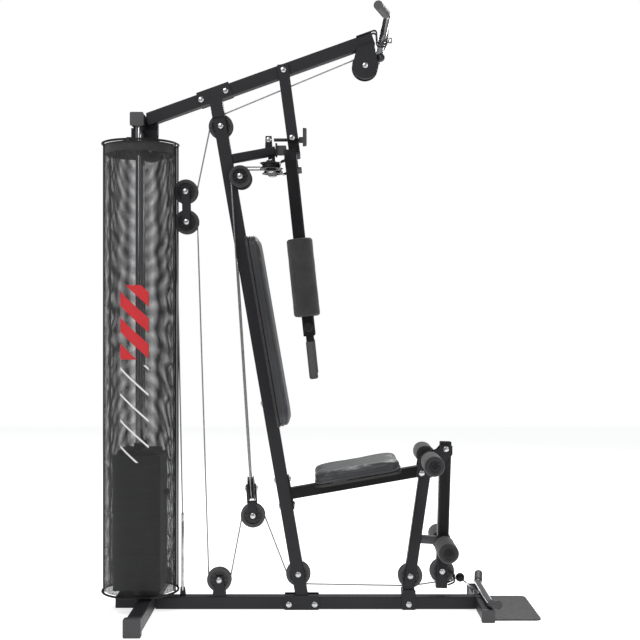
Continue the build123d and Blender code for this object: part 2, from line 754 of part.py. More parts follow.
def build_press_beam():
    """The beam from the upright, its lock lug and the yoke of the two flat pulleys."""
    low = RUN_Z - PULLEY_WIDTH / 2 - 2 - PLATE
    high = RUN_Z + PULLEY_WIDTH / 2 + 2
    with BuildPart() as beam:
        tube(BEAM_REAR, BEAM_FRONT, 32.0)
        bar_cut(UPRIGHT_FOOT, UPRIGHT_HEAD, TUBE)
        block((-420, -60, 1500), (-310, 60, 1700), Mode.SUBTRACT)
        for floor in (low, high):
            with BuildSketch(Plane.XY.offset(floor)) as shelf:
                with Locations((YOKE_X, 0)):
                    RectangleRounded(32, 2 * YOKE_Y + 32, 10)
                with Locations((YOKE_X, YOKE_Y), (YOKE_X, -YOKE_Y)):
                    Circle(SHANK + FIT, mode=Mode.SUBTRACT)
            extrude(shelf.sketch, amount=PLATE)
        block((YOKE_X - 12, -12, low), (YOKE_X + 12, 12, 1630))
        side_plate([(-188, 1640), (-160, 1645), (-164, 1700), (-186, 1700)], -4, 4, 0)
        block((-150, -20, 1626), (-144, 20, 1672))
        bolt_holes([(-174.0, 1686.0)], TUBE)
    return beam.part


def build_back_bracket():
    """The ears on the upright that carry the pair of butterfly pulleys."""
    x, z = BACK_PULLEY
    with BuildPart() as bracket:
        plate_pair([(x - 40, z - 18), (x + 13, z - 13), (x + 13, z + 13), (x - 40, z + 18)], TUBE / 2 - PLATE)
        bar_cut(UPRIGHT_FOOT, UPRIGHT_HEAD, TUBE)
        block((x - 60, -60, z - 30), (x - 30, 60, z + 30), Mode.SUBTRACT)
        bolt_holes([BACK_PULLEY], TUBE)
    return bracket.part


def build_bumper():
    with BuildPart() as bumper:
        block((-144, -16, 1632), (-118, 16, 1664))
        face = unit(at_y(SWING_PIVOT), at_y(SWING_FOOT))
        side_plate([(-118, 1632), (-118, 1664), (-112, 1664), (-108, 1632)], -16, 16)
        bar_cut(at_y(SWING_PIVOT), Vector(*at_y(SWING_FOOT)) + face * 40, SLIM + 2 * GAP)
    return bumper.part


FLY_ANCHOR = (YOKE_X + SMALL_RUN + 4, ARM_REACH - 30)

LEAN = Vector(-sin(ARM_LEAN * pi / 180), 0, cos(ARM_LEAN * pi / 180))
ARM_FORWARD = Vector(LEAN.Z, 0, -LEAN.X)
ARM_HUB = Plane(origin=(ARM_X, 0, ARM_Z), x_dir=ARM_FORWARD, z_dir=LEAN)
HUB_HALF = SLIM / 2 + 4


EAR_FACE = TUBE / 2 + 3 + PLATE


def build_swing_frame():
    """The swinging tube, the ears on the boom and the two plates that the arms turn in."""
    down = unit(at_y(SWING_PIVOT), at_y(SWING_FOOT))
    top = Vector(*at_y(SWING_PIVOT)) + down * EAR
    with BuildPart() as swing:
        tube(top, Vector(*at_y(SWING_FOOT)), SLIM)
        with BuildSketch(ARM_HUB.offset(HUB_HALF)) as clear:
            Rectangle(200, 200)
        extrude(clear.sketch, amount=-200, mode=Mode.SUBTRACT)
        for side in (-1, 1):
            beside = Plane(origin=at_y(SWING_PIVOT, side * (TUBE / 2 + 3)), x_dir=down, z_dir=(0, side, 0))
            with BuildSketch(beside) as ear:
                with Locations((EAR_END / 2 - SLIM / 4, 0)):
                    Rectangle(EAR_END + SLIM / 2, SLIM)
            extrude(ear.sketch, amount=PLATE)
            rod(at_y(SWING_BOLT, side * SLIM / 2), at_y(SWING_BOLT, side * TUBE), SHANK + FIT, Mode.SUBTRACT)
        with BuildSketch(Plane(origin=top, x_dir=(0, 1, 0), z_dir=down)) as bridge:
            Rectangle(TUBE + 6 + 2 * PLATE, 36)
        extrude(bridge.sketch, amount=6)
        for lift in (HUB_HALF, -HUB_HALF - PLATE):
            with BuildSketch(ARM_HUB.offset(lift)) as shelf:
                with Locations((6, 0)):
                    RectangleRounded(56, 2 * ARM_PIVOT_Y + 44, 12)
                with Locations((0, ARM_PIVOT_Y), (0, -ARM_PIVOT_Y)):
                    Circle(AXLE + FIT, mode=Mode.SUBTRACT)
            extrude(shelf.sketch, amount=PLATE)
        with BuildSketch(ARM_HUB.offset(-HUB_HALF)) as web:
            Rectangle(24, 24)
        extrude(web.sketch, amount=2 * HUB_HALF)
        bolt_holes([SWING_PIVOT], TUBE, 7)
        rod((-160, 0, LOCK_Z), (-40, 0, LOCK_Z), LOCK + FIT, Mode.SUBTRACT)
    return swing.part


def build_swing_pins():
    """The arm pivots and the bolt heads on the swinging tube."""
    with BuildPart() as pins:
        for side in (-1, 1):
            centre = ARM_HUB.origin + Vector(0, side * ARM_PIVOT_Y, 0)
            top = centre + LEAN * (HUB_HALF + PLATE)
            foot = centre - LEAN * (HUB_HALF + PLATE)
            rod(foot, top, AXLE)
            dome(top, LEAN)
            dome(foot, -LEAN)
            rod(at_y(SWING_BOLT, side * SLIM / 2), at_y(SWING_BOLT, side * EAR_FACE), SHANK)
            dome(at_y(SWING_BOLT, side * EAR_FACE), (0, side, 0))
    return pins.part


def build_lock_knob():
    """The pull-and-turn rod that locks the swing to the beam's lug."""
    with BuildPart() as knob:
        rod((-156, 0, LOCK_Z), (-52, 0, LOCK_Z), LOCK)
        rod((-66, 0, LOCK_Z), (-52, 0, LOCK_Z), 11)
        block((-52, -9, LOCK_Z - 22), (-38, 9, LOCK_Z + 42))
        fillet(knob.edges().group_by(Axis.X)[-1], radius=5)
    return knob.part


def arm_point(side, drop, forward=0.0, out=0.0):
    """A point of an arm, measured down its lean from the hub."""
    return ARM_HUB.origin + Vector(0, side * (ARM_REACH + out), 0) - LEAN * drop + ARM_FORWARD * forward


def build_arm(side):
    """One butterfly arm: the tube on the hub, the tube down and the socket of the handle."""
    hub = ARM_HUB.origin + Vector(0, side * ARM_PIVOT_Y, 0)
    half = SLIM / 2
    with BuildPart() as arm:
        tube(hub + Vector(0, side * 12, 0), arm_point(side, 0, out=half), SLIM)
        tube(arm_point(side, -half), arm_point(side, 620), SLIM)
        rod(hub - LEAN * half, hub + LEAN * half, 23)
        anchor = Vector(FLY_ANCHOR[0], side * FLY_ANCHOR[1], RUN_Z)
        rod(anchor + Vector(30, 0, 12), anchor + Vector(4, 0, 1.6), 5)
        rod(hub - LEAN * half, hub + LEAN * half, AXLE + FIT, Mode.SUBTRACT)
        rod(arm_point(side, 590, out=half), arm_point(side, 590, out=half + 9), 6)
        turned(arm_point(side, 590, out=half + 9), (0, side, 0), [(0, 0), (13, 0), (16, 4), (16, 18), (12, 22), (0, 22)])
        rod(arm_point(side, 560), arm_point(side, 700), BAR)
        turned(arm_point(side, 612), -LEAN, [(0, 0), (SLIM / 2 - 2, 0), (SLIM / 2 - 2, 8), (0, 8)])
    return arm.part


def build_arm_foam(side):
    with BuildPart() as foam:
        with BuildSketch(Plane(origin=arm_point(side, 285), x_dir=(0, 1, 0), z_dir=-LEAN)) as section:
            Circle(FOAM)
            RectangleRounded(SLIM, SLIM, CORNER, mode=Mode.SUBTRACT)
        extrude(section.sketch, amount=267)
        fillet(foam.edges().filter_by(GeomType.CIRCLE), radius=5)
    return foam.part


def build_arm_grip(side):
    with BuildPart() as grip:
        turned(arm_point(side, 640), -LEAN, [(BAR, 0), (GRIP, 0), (GRIP, 124), (GRIP - 4, 128), (0, 128), (0, 60), (BAR, 60)])
    return grip.part


# ---- leg lever and rollers ----
def build_lever():
    """The leg lever with its ankle axle and the wire loop that the cable leaves through."""
    down = unit(at_y(LEVER_PIVOT), at_y(LEVER_FOOT))
    top = Vector(*at_y(LEVER_PIVOT)) - down * 24
    half = SLIM / 2
    with BuildPart() as lever:
        tube(top, Vector(*at_y(LEVER_FOOT)), SLIM)
        pulley_well(LEVER_PULLEY)
        bolt_holes([LEVER_PIVOT, LEVER_PULLEY], TUBE)
        rod(at_y(ANKLE, -ANKLE_HALF), at_y(ANKLE, ANKLE_HALF), AXLE)
        for side in (-1, 1):
            turned(at_y(ANKLE, side * (half + 4)), (0, side, 0), [(AXLE, 0), (14, 0), (14, 6), (AXLE, 6)])
        axle_ends(ANKLE, ANKLE_HALF)
    return lever.part


def build_lever_loop():
    with BuildPart() as loop:
        for side in (-1, 1):
            y = side * 17
            with BuildLine(Plane.XZ.offset(-y)) as path:
                FilletPolyline((469.5, 136), (492, 128), (492, 98), (468, 88), radius=11)
            with BuildSketch(Plane(origin=path.line @ 0, z_dir=path.line % 0)) as wire:
                Circle(3)
            sweep(wire.sketch, path=path.line)
    return loop.part


def build_lever_bolt():
    with BuildPart() as bolt:
        cross_bolt(LEVER_PULLEY, SLIM / 2, SLIM / 2 - WALL)
    return bolt.part


def build_rollers(centre, axle_half):
    with BuildPart() as rollers:
        for side in (-1, 1):
            near, far = side * (axle_half - ROLLER_LENGTH), side * (axle_half - 3)
            pipe(at_y(centre, near), at_y(centre, far), ROLLER, AXLE)
        fillet(rollers.edges().filter_by(GeomType.CIRCLE).filter_by(lambda edge: edge.radius > AXLE + 1), radius=4)
    return rollers.part


# ---- bars that lift off ----
def build_bar(centre, straight, tip, drop, rise):
    """A handle bar along Y with swept ends."""
    x, z = centre
    points = [(x + drop, -tip, z + rise), (x, -straight, z), (x, straight, z), (x + drop, tip, z + rise)]
    with BuildPart() as bar:
        with BuildLine() as path:
            FilletPolyline(*points, radius=60)
        with BuildSketch(Plane(origin=path.line @ 0, z_dir=path.line % 0)) as section:
            Circle(BAR)
        sweep(section.sketch, path=path.line)
    return bar.part


def build_grips(centre, straight, tip, drop, rise, length):
    x, z = centre
    with BuildPart() as grips:
        for side in (-1, 1):
            end = Vector(x + drop, side * tip, z + rise)
            back = unit(end, (x, side * straight, z))
            pipe(end - back * 2, end + back * length, GRIP, BAR)
            rod(end - back * 6, end - back * 2, GRIP)
    return grips.part


def build_lat_link():
    """The eye and the spring link of the high bar."""
    x, z = LAT_BAR
    eye = Vector(x + BAR + 14, 0, z + 2)
    ball = Vector(*at_y(LAT_BALL))
    heading = unit(ball, eye)
    far = (ball - eye).length
    length = far - BALL - GAP + 5
    with BuildPart() as link:
        side_plate([(x + BAR + 0.2, z - 9), (x + BAR + 24, z - 7), (x + BAR + 24, z + 11), (x + BAR + 0.2, z + 9)], -2.5, 2.5)
        rod(eye - Vector(0, 10, 0), eye + Vector(0, 10, 0), 7, Mode.SUBTRACT)
        ring_link(ball + heading * (BALL + GAP + length / 2), heading, (0, 1, 0), length, 22, 4.5)
    return link.part


def build_low_link():
    x, z = LOW_BAR
    eye = Vector(x - BAR - 13, 0, z + 4)
    ball = Vector(*at_y(LOW_BALL))
    heading = unit(ball, eye)
    length = (ball - eye).length - BALL - GAP + 5
    with BuildPart() as link:
        side_plate([(x - BAR - 24, z - 6), (x - BAR - 0.2, z - 8), (x - BAR - 0.2, z + 8), (x - BAR - 24, z + 14)], -2.5, 2.5)
        rod(eye - Vector(0, 10, 0), eye + Vector(0, 10, 0), 7, Mode.SUBTRACT)
        ring_link(ball + heading * (BALL + GAP + length / 2), heading, (0, 1, 0), length, 22, 4.5)
    return link.part


# ---- cables ----
def build_lat_cable():
    start = (STACK_X, STACK_TOP + 84)
    stations = [(*start, 0.0), (*REAR_TOP, RUN), (*FLOAT_HIGH, -RUN), (*UPRIGHT_TOP, RUN), (*LAT, RUN), (*LAT_BALL, 0.0)]
    with BuildPart() as cable:
        with BuildLine(Plane.XZ) as route:
            belt(stations)
        sheath(route.wire())
        turned(at_y(LAT_BALL), (0, 1, 0), [(0, -BALL), (BALL, -BALL), (BALL, BALL), (0, BALL)], Mode.SUBTRACT)
    print("high cable length", round(route.wire().length))
    return cable.part


def build_low_cable():
    stations = [
        (*CABLE_START, 0.0), (*FLOAT_LOW, RUN), (*BASE_PULLEY, -RUN), (*CROSS_LOW, RUN),
        (*UPRIGHT_LOW, -RUN), (*POST_PULLEY, -RUN), (*LEVER_PULLEY, -RUN), (*LOW_BALL, 0.0),
    ]
    with BuildPart() as cable:
        with BuildLine(Plane.XZ) as route:
            belt(stations)
        sheath(route.wire())
        turned(at_y(LOW_BALL), (0, 1, 0), [(0, -BALL), (BALL, -BALL), (BALL, BALL), (0, BALL)], Mode.SUBTRACT)
    print("low cable length", round(route.wire().length))
    return cable.part


def build_fly_cable():
    """The butterfly cable: arm, flat pulley, upright pulley, under the travelling block, and back."""
    anchor = (FLY_ANCHOR[0], -FLY_ANCHOR[1])
    away, onto = tangent((*anchor, 0.0), (YOKE_X, -YOKE_Y, -SMALL_RUN))
    round_yoke = wrap_middle((YOKE_X, -YOKE_Y, -SMALL_RUN), onto, (YOKE_X, -LEG_Y))
    over = wrap_middle((*BACK_PULLEY, -SMALL_RUN), (BACK_PULLEY[0], RUN_Z), LEG_TOP)
    foot = Vector(*at_y(CROSS_HIGH))
    with BuildPart() as cable:
        with BuildLine() as route:
            Line((*away, RUN_Z), (*onto, RUN_Z))
            ThreePointArc((*onto, RUN_Z), (*round_yoke, RUN_Z), (YOKE_X, -LEG_Y, RUN_Z))
            Line((YOKE_X, -LEG_Y, RUN_Z), (BACK_PULLEY[0], -LEG_Y, RUN_Z))
            ThreePointArc((BACK_PULLEY[0], -LEG_Y, RUN_Z), at_y(over, -LEG_Y), at_y(LEG_TOP, -LEG_Y))
            Line(at_y(LEG_TOP, -LEG_Y), at_y(CROSS_HIGH, -LEG_Y))
            mirror(about=Plane.XZ)
            ThreePointArc(at_y(CROSS_HIGH, -LEG_Y), foot + LEG_DOWN * LEG_Y, at_y(CROSS_HIGH, LEG_Y))
        sheath(route.wire())
    print("butterfly cable length", round(route.wire().length))
    return cable.part


def build_fittings():
    """The chain, the spring link and the ferrule at the base."""
    wire = 4.5
    with BuildPart() as fittings:
        pitch = 27.5
        for index in range(7):
            side = (1, 0, 0) if index % 2 else (0, 1, 0)
            ring_link((CHAIN_X, 0, 83.5 + index * pitch), (0, 0, 1), side, 37, 20, wire)
        ring_link((CHAIN_X, 0, 286), (0, 0, 1), (1, 0, 0), 56, 23, wire)
        rod((CHAIN_X, 0, 314), at_y(CABLE_START), 5)
    return fittings.part


def build_ball(centre):
    """A ball stop at the end of a cable."""
    with BuildPart() as ball:
        with BuildSketch(turning_plane(at_y(centre), (0, 1, 0))) as half:
            with BuildLine():
                Line((0, -BALL), (0, BALL))
                ThreePointArc((0, BALL), (BALL, 0), (0, -BALL))
            make_face()
        revolve(half.sketch, axis=Axis(at_y(centre), (0, 1, 0)))
    return ball.part


# ---- bolts ----
def build_frame_bolts():
    inside = PULLEY_WIDTH / 2 + 2
    with BuildPart() as bolts:
        for centre in FRAME_BOLTS + PIVOT_BOLTS:
            cross_bolt(centre, TUBE / 2 + PLATE)
        for centre in TUBE_PULLEYS:
            cross_bolt(centre, TUBE / 2, TUBE / 2 - WALL)
        cross_bolt(LAT, TUBE / 2 + PLATE, TUBE / 2)
        cross_bolt(POST_PULLEY, SLIM / 2, SLIM / 2 - WALL)
        for centre in (REAR_TOP, BASE_PULLEY):
            cross_bolt(centre, inside + PLATE)
        cross_bolt((374.0, 490.0), SLIM / 2 + PLATE)
        cross_bolt(LEVER_PIVOT, SLIM / 2 + PLATE)
        cross_bolt((-174.0, 1686.0), 4)
        rod(at_y(SWING_PIVOT, -EAR_FACE), at_y(SWING_PIVOT, EAR_FACE), 7)
        for side in (-1, 1):
            dome(at_y(SWING_PIVOT, side * EAR_FACE), (0, side, 0))
            dome((YOKE_X, side * YOKE_Y, RUN_Z + inside + PLATE), (0, 0, 1))
            dome((YOKE_X, side * YOKE_Y, RUN_Z - inside - PLATE), (0, 0, -1))
            rod((YOKE_X, side * YOKE_Y, RUN_Z - inside - PLATE), (YOKE_X, side * YOKE_Y, RUN_Z + inside + PLATE), SHANK)
            dome(at_y(BACK_PULLEY, side * (LEG_Y + PULLEY_WIDTH / 2 + 1)), (0, side, 0))
        rod(at_y(BACK_PULLEY, -LEG_Y - PULLEY_WIDTH / 2 - 1), at_y(BACK_PULLEY, LEG_Y + PULLEY_WIDTH / 2 + 1), SHANK)
        seat_face = TUBE / 2 + PLATE * UPRIGHT_SLOPE.Z
        for distance in SEAT_BOLTS:
            rod(beside_upright(distance, -TUBE / 2), beside_upright(distance, seat_face), SHANK)
            dome(beside_upright(distance, seat_face), BACK_NORMAL)
        for distance in PAD_BOLTS:
            rod(beside_upright(distance, -TUBE / 2), beside_upright(distance, TUBE / 2), SHANK)
        for distance in SEAT_BOLTS + PAD_BOLTS:
            dome(beside_upright(distance, -TUBE / 2), -BACK_NORMAL)
    return bolts.part


def together(*parts):
    """Several separate solids kept as one node."""
    return Compound(children=[solid for part in parts for solid in part.solids()])


def build_float_bolts():
    with BuildPart() as bolts:
        for centre in (FLOAT_HIGH, FLOAT_LOW):
            cross_bolt(centre, PULLEY_WIDTH / 2 + 2 + PLATE)
    return bolts.part


NODES = {
    "base_tube": build_base_tube,
    "base_brackets": build_base_brackets,
    "stabilisers": lambda: together(build_rear_stabiliser(), build_front_stabiliser()),
    "foot_plate": build_foot_plate,
    "end_caps": build_end_caps,
    "upright": build_upright,
    "boom": build_boom,
    "boom_plates": lambda: together(build_boom_plates(), build_hook()),
    "head_bracket": build_head,
    "guide_rods": build_guide_rods,
    "seat_frame": lambda: together(build_seat_frame(), build_knee_axle()),
    "seat_cushion": build_seat_cushion,
    "back_cushion": build_back_cushion,
    "pad_boards": build_pad_boards,
    "shroud_net": build_net,
    "shroud_band": build_band,
    "shroud_hoops": build_hoops,
    "resting_plates": build_resting_plates,
    "rubber_stops": lambda: together(build_buffers(), build_seat_stop(), build_bumper()),
    "press_beam": lambda: together(build_press_beam(), build_back_bracket()),
    "lat_cable": build_lat_cable,
    "low_cable": build_low_cable,
    "fly_cable": build_fly_cable,
    "cable_fittings": lambda: together(build_fittings(), build_ball(LAT_BALL)),
    "frame_bolts": build_frame_bolts,
    "knee_rollers": lambda: build_rollers(KNEE, KNEE_HALF),
    "head_plate": build_head_plate,
    "selected_plates": build_selected_plates,
    "selector_pin": build_selector_pin,
    "float_block": lambda: together(build_float_block(), build_float_bolts()),
    "cross_block": lambda: together(build_cross_block(), build_cross_bolts()),
    "swing_frame": lambda: together(build_swing_frame(), build_swing_pins()),
    "lock_knob": build_lock_knob,
    "leg_lever": lambda: together(build_lever(), build_lever_loop(), build_lever_bolt(), build_ball(LOW_BALL)),
    "ankle_rollers": lambda: build_rollers(ANKLE, ANKLE_HALF),
    "lat_bar": lambda: together(build_bar(LAT_BAR, 342, 464, -35, 0), build_lat_link()),
    "lat_grips": lambda: build_grips(LAT_BAR, 342, 464, -35, 0, 105),
    "low_bar": lambda: together(build_bar(LOW_BAR, 150, 235, 13, 16), build_low_link()),
    "low_grips": lambda: build_grips(LOW_BAR, 150, 235, 13, 16, 66),
}
for name, build in NODES.items():
    save(build(), name)

for name, side in (("near", -1), ("far", 1)):
    save(build_arm(side), f"{name}_arm")
    save(build_arm_foam(side), f"{name}_foam")
    save(build_arm_grip(side), f"{name}_grip")

ACROSS = (0, 1, 0)
PULLEYS = {
    "rear_top": (at_y(REAR_TOP), ACROSS, RUN),
    "upright_top": (at_y(UPRIGHT_TOP), ACROSS, RUN),
    "lat": (at_y(LAT), ACROSS, RUN),
    "float_high": (at_y(FLOAT_HIGH), ACROSS, RUN),
    "float_low": (at_y(FLOAT_LOW), ACROSS, RUN),
    "base": (at_y(BASE_PULLEY), ACROSS, RUN),
    "cross_low": (at_y(CROSS_LOW), ACROSS, RUN),
    "cross_high": (at_y(CROSS_HIGH), CROSS_AXIS, RUN),
    "upright_low": (at_y(UPRIGHT_LOW), ACROSS, RUN),
    "post": (at_y(POST_PULLEY), ACROSS, RUN),
    "lever": (at_y(LEVER_PULLEY), ACROSS, RUN),
    "back_near": (at_y(BACK_PULLEY, -LEG_Y), ACROSS, SMALL_RUN),
    "back_far": (at_y(BACK_PULLEY, LEG_Y), ACROSS, SMALL_RUN),
    "yoke_near": ((YOKE_X, -YOKE_Y, RUN_Z), (0, 0, 1), SMALL_RUN),
    "yoke_far": ((YOKE_X, YOKE_Y, RUN_Z), (0, 0, 1), SMALL_RUN),
}
for name, (centre, axis, run) in PULLEYS.items():
    save(build_pulley(centre, axis, run), f"pulley_{name}")
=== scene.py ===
import json
import math

import bmesh
import bpy
import numpy as np
from mathutils import Matrix, Vector, noise


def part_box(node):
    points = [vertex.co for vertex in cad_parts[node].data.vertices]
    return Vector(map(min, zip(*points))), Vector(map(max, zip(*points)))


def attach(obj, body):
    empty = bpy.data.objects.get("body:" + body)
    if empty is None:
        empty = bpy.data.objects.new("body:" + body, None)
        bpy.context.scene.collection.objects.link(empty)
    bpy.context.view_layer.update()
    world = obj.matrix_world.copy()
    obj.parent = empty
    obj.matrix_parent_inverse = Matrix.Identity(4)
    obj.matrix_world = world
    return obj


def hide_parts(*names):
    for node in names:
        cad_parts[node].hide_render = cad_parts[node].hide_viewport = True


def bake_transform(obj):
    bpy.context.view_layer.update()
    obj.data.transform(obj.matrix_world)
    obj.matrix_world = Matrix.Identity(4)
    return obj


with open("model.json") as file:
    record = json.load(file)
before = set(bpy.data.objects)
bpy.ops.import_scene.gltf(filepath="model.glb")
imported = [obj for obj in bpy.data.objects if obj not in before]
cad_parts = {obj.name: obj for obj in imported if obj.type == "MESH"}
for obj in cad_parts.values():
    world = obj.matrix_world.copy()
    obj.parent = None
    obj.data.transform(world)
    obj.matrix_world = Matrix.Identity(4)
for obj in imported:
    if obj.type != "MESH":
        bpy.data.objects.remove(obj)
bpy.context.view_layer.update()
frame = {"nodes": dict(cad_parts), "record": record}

CABLE_RADIUS = 0.0026
RIM_LIP = 0.006          # a pulley's rim stands this far above the cable's centre
BALL_THIN = 0.029        # a fitting thicker than this is a ball stop
BALL_THICK = 0.034
WIRE = 0.0021            # radius of a link's wire
NODES = frame["nodes"]


# ---------------------------------------------------------------- materials
class Nodes:
    """A short way to build one material's node tree."""

    def __init__(self, name):
        self.material = bpy.data.materials.new(name)
        self.material.use_nodes = True
        self.tree = self.material.node_tree
        self.shader = self.tree.nodes["Principled BSDF"]
        self.output = self.tree.nodes["Material Output"]
        self.place = self.new("ShaderNodeTexCoord").outputs["Object"]

    def new(self, kind, **settings):
        node = self.tree.nodes.new(kind)
        for key, value in settings.items():
            setattr(node, key, value)
        return node

    def link(self, source, target):
        self.tree.links.new(source, target)

    def noise(self, scale, detail=3.0, stretch=(1, 1, 1)):
        node = self.new("ShaderNodeTexNoise")
        node.inputs["Scale"].default_value = scale
        node.inputs["Detail"].default_value = detail
        mapping = self.new("ShaderNodeMapping")
        mapping.inputs["Scale"].default_value = stretch
        self.link(self.place, mapping.inputs["Vector"])
        self.link(mapping.outputs["Vector"], node.inputs["Vector"])
        return node.outputs["Fac"]

    def cells(self, scale, feature="F1"):
        node = self.new("ShaderNodeTexVoronoi", feature=feature)
        node.inputs["Scale"].default_value = scale
        self.link(self.place, node.inputs["Vector"])
        return node.outputs["Distance"]

    def math(self, operation, first, second=None):
        node = self.new("ShaderNodeMath", operation=operation)
        for socket, value in zip(node.inputs, (first, second)):
            if value is None:
                continue
            if isinstance(value, (int, float)):
                socket.default_value = value
            else:
                self.link(value, socket)
        return node.outputs[0]

    def ramp(self, source, low, high, start=0.3, end=0.7):
        node = self.new("ShaderNodeValToRGB")
        node.color_ramp.elements[0].position = start
        node.color_ramp.elements[1].position = end
        node.color_ramp.elements[0].color = (*low, 1)
        node.color_ramp.elements[1].color = (*high, 1)
        self.link(source, node.inputs["Fac"])
        return node.outputs["Color"]

    def spread(self, source, low, high):
        node = self.new("ShaderNodeMapRange")
        node.inputs["To Min"].default_value = low
        node.inputs["To Max"].default_value = high
        self.link(source, node.inputs["Value"])
        return node.outputs["Result"]

    def mix(self, factor, first, second):
        node = self.new("ShaderNodeMix", data_type="RGBA")
        for index, value in ((0, factor), (6, first), (7, second)):
            socket = node.inputs[index]
            if isinstance(value, tuple):
                socket.default_value = (*value, 1)
            else:
                self.link(value, socket)
        return node.outputs[2]

    def bump(self, height, strength, distance, before=None):
        node = self.new("ShaderNodeBump")
        node.inputs["Strength"].default_value = strength
        node.inputs["Distance"].default_value = distance
        self.link(height, node.inputs["Height"])
        if before:
            self.link(before, node.inputs["Normal"])
        return node.outputs["Normal"]

    def finish(self, colour, rough, normal=None, **sockets):
        self.link(colour, self.shader.inputs["Base Color"])
        self.link(rough, self.shader.inputs["Roughness"])
        if normal:
            self.link(normal, self.shader.inputs["Normal"])
        for name, value in sockets.items():
            self.shader.inputs[name.replace("_", " ")].default_value = value
        return self.material


def worn_edges(nodes, colour, bright):
    """Lightens the outer edges a little, where a coat is thin."""
    edge = nodes.new("ShaderNodeNewGeometry").outputs["Pointiness"]
    rim = nodes.new("ShaderNodeMapRange")
    rim.inputs["From Min"].default_value = 0.52
    rim.inputs["From Max"].default_value = 0.6
    rim.inputs["To Max"].default_value = 0.5
    nodes.link(edge, rim.inputs["Value"])
    return nodes.mix(rim.outputs["Result"], colour, bright)


def powder_coat():
    n = Nodes("powder_coat")
    colour = n.ramp(n.noise(9, 4), (0.006, 0.006, 0.007), (0.012, 0.012, 0.013))
    colour = worn_edges(n, colour, (0.04, 0.04, 0.044))
    rough = n.spread(n.noise(30, 4), 0.34, 0.5)
    peel = n.bump(n.noise(1400, 2), 0.18, 0.0004)
    return n.finish(colour, rough, peel, Specular_IOR_Level=0.14)


def moulded_plastic(name, low, high, rough_low, rough_high, scale):
    n = Nodes(name)
    colour = n.ramp(n.noise(40, 3), low, high)
    colour = worn_edges(n, colour, tuple(4 * value for value in high))
    normal = n.bump(n.noise(scale, 2), 0.25, 0.0004)
    return n.finish(colour, n.spread(n.noise(60, 3), rough_low, rough_high), normal)


def metal(name, low, high, rough_low, rough_high, brush=(1, 1, 1)):
    n = Nodes(name)
    colour = n.ramp(n.noise(60, 4, brush), low, high)
    rough = n.spread(n.noise(300, 4, brush), rough_low, rough_high)
    return n.finish(colour, rough, n.bump(n.noise(900, 2, brush), 0.06, 0.0002), Metallic=1.0)


def cast_plate():
    n = Nodes("cast_plate")
    colour = n.ramp(n.noise(25, 5), (0.008, 0.008, 0.009), (0.02, 0.02, 0.022))
    colour = worn_edges(n, colour, (0.07, 0.07, 0.075))
    return n.finish(colour, n.spread(n.noise(50, 4), 0.45, 0.7), n.bump(n.noise(420, 4), 0.5, 0.0008))


def vinyl():
    """Soft black vinyl with a fine leather grain."""
    n = Nodes("vinyl")
    colour = n.ramp(n.noise(7, 5), (0.020, 0.021, 0.023), (0.034, 0.035, 0.038))
    crease = n.cells(620, "SMOOTH_F1")
    grain = n.bump(crease, 0.45, 0.0006)
    soft = n.bump(n.noise(16, 3), 0.25, 0.003, grain)
    rough = n.spread(n.noise(45, 4), 0.36, 0.5)
    return n.finish(colour, rough, soft, Sheen_Weight=0.15, Specular_IOR_Level=0.5)


def foam():
    """Closed-cell foam with a dull skin and small pores."""
    n = Nodes("foam")
    colour = n.ramp(n.noise(18, 5), (0.012, 0.012, 0.013), (0.026, 0.026, 0.028))
    pores = n.bump(n.cells(900), 0.5, 0.0007)
    dents = n.bump(n.noise(35, 3), 0.3, 0.003, pores)
    return n.finish(colour, n.spread(n.noise(80, 4), 0.72, 0.92), dents, Sheen_Weight=0.2)


def cable_skin():
    """Clear-coated steel cable: the lay of the strands shows through."""
    n = Nodes("cable_skin")
    lay = n.noise(700, 1, (1, 1, 0.35))
    colour = n.ramp(lay, (0.16, 0.16, 0.17), (0.34, 0.34, 0.35))
    return n.finish(colour, n.spread(lay, 0.25, 0.45), n.bump(lay, 0.5, 0.0006), Metallic=0.35)


def step_plate():
    """A black plate embossed with small raised pebbles."""
    n = Nodes("step_plate")
    pebbles = n.cells(150, "SMOOTH_F1")
    raised = n.math("SUBTRACT", 1.0, pebbles)
    colour = n.ramp(pebbles, (0.05, 0.05, 0.053), (0.014, 0.014, 0.015), 0.1, 0.75)
    return n.finish(colour, n.spread(n.noise(60, 4), 0.45, 0.65), n.bump(raised, 0.9, 0.0018))


def board():
    n = Nodes("board")
    grain = n.noise(60, 6, (0.15, 1, 1))
    colour = n.ramp(grain, (0.012, 0.011, 0.010), (0.028, 0.025, 0.023))
    return n.finish(colour, n.spread(grain, 0.5, 0.7), n.bump(grain, 0.3, 0.0006))


SHROUD_RADIUS = 0.131
HOLE_LEVEL = 0.36          # the net is open where its wave passes this level
PRINT_HALF = 0.052         # half width of the print
BARS_PER_METRE = 11.0
RED_BARS = (1.03, 0.13)    # middle height and half height
WHITE_BARS = (0.71, 0.17)


def round_shroud(n, centre):
    """Arc length round the shroud, from the side that faces -Y, and height."""
    split = n.new("ShaderNodeSeparateXYZ")
    n.link(n.place, split.inputs[0])
    across = n.math("SUBTRACT", split.outputs["X"], centre.x)
    turn = n.math("ARCTAN2", across, n.math("MULTIPLY", split.outputs["Y"], -1.0))
    return n.math("MULTIPLY", turn, SHROUD_RADIUS), split.outputs["Z"]


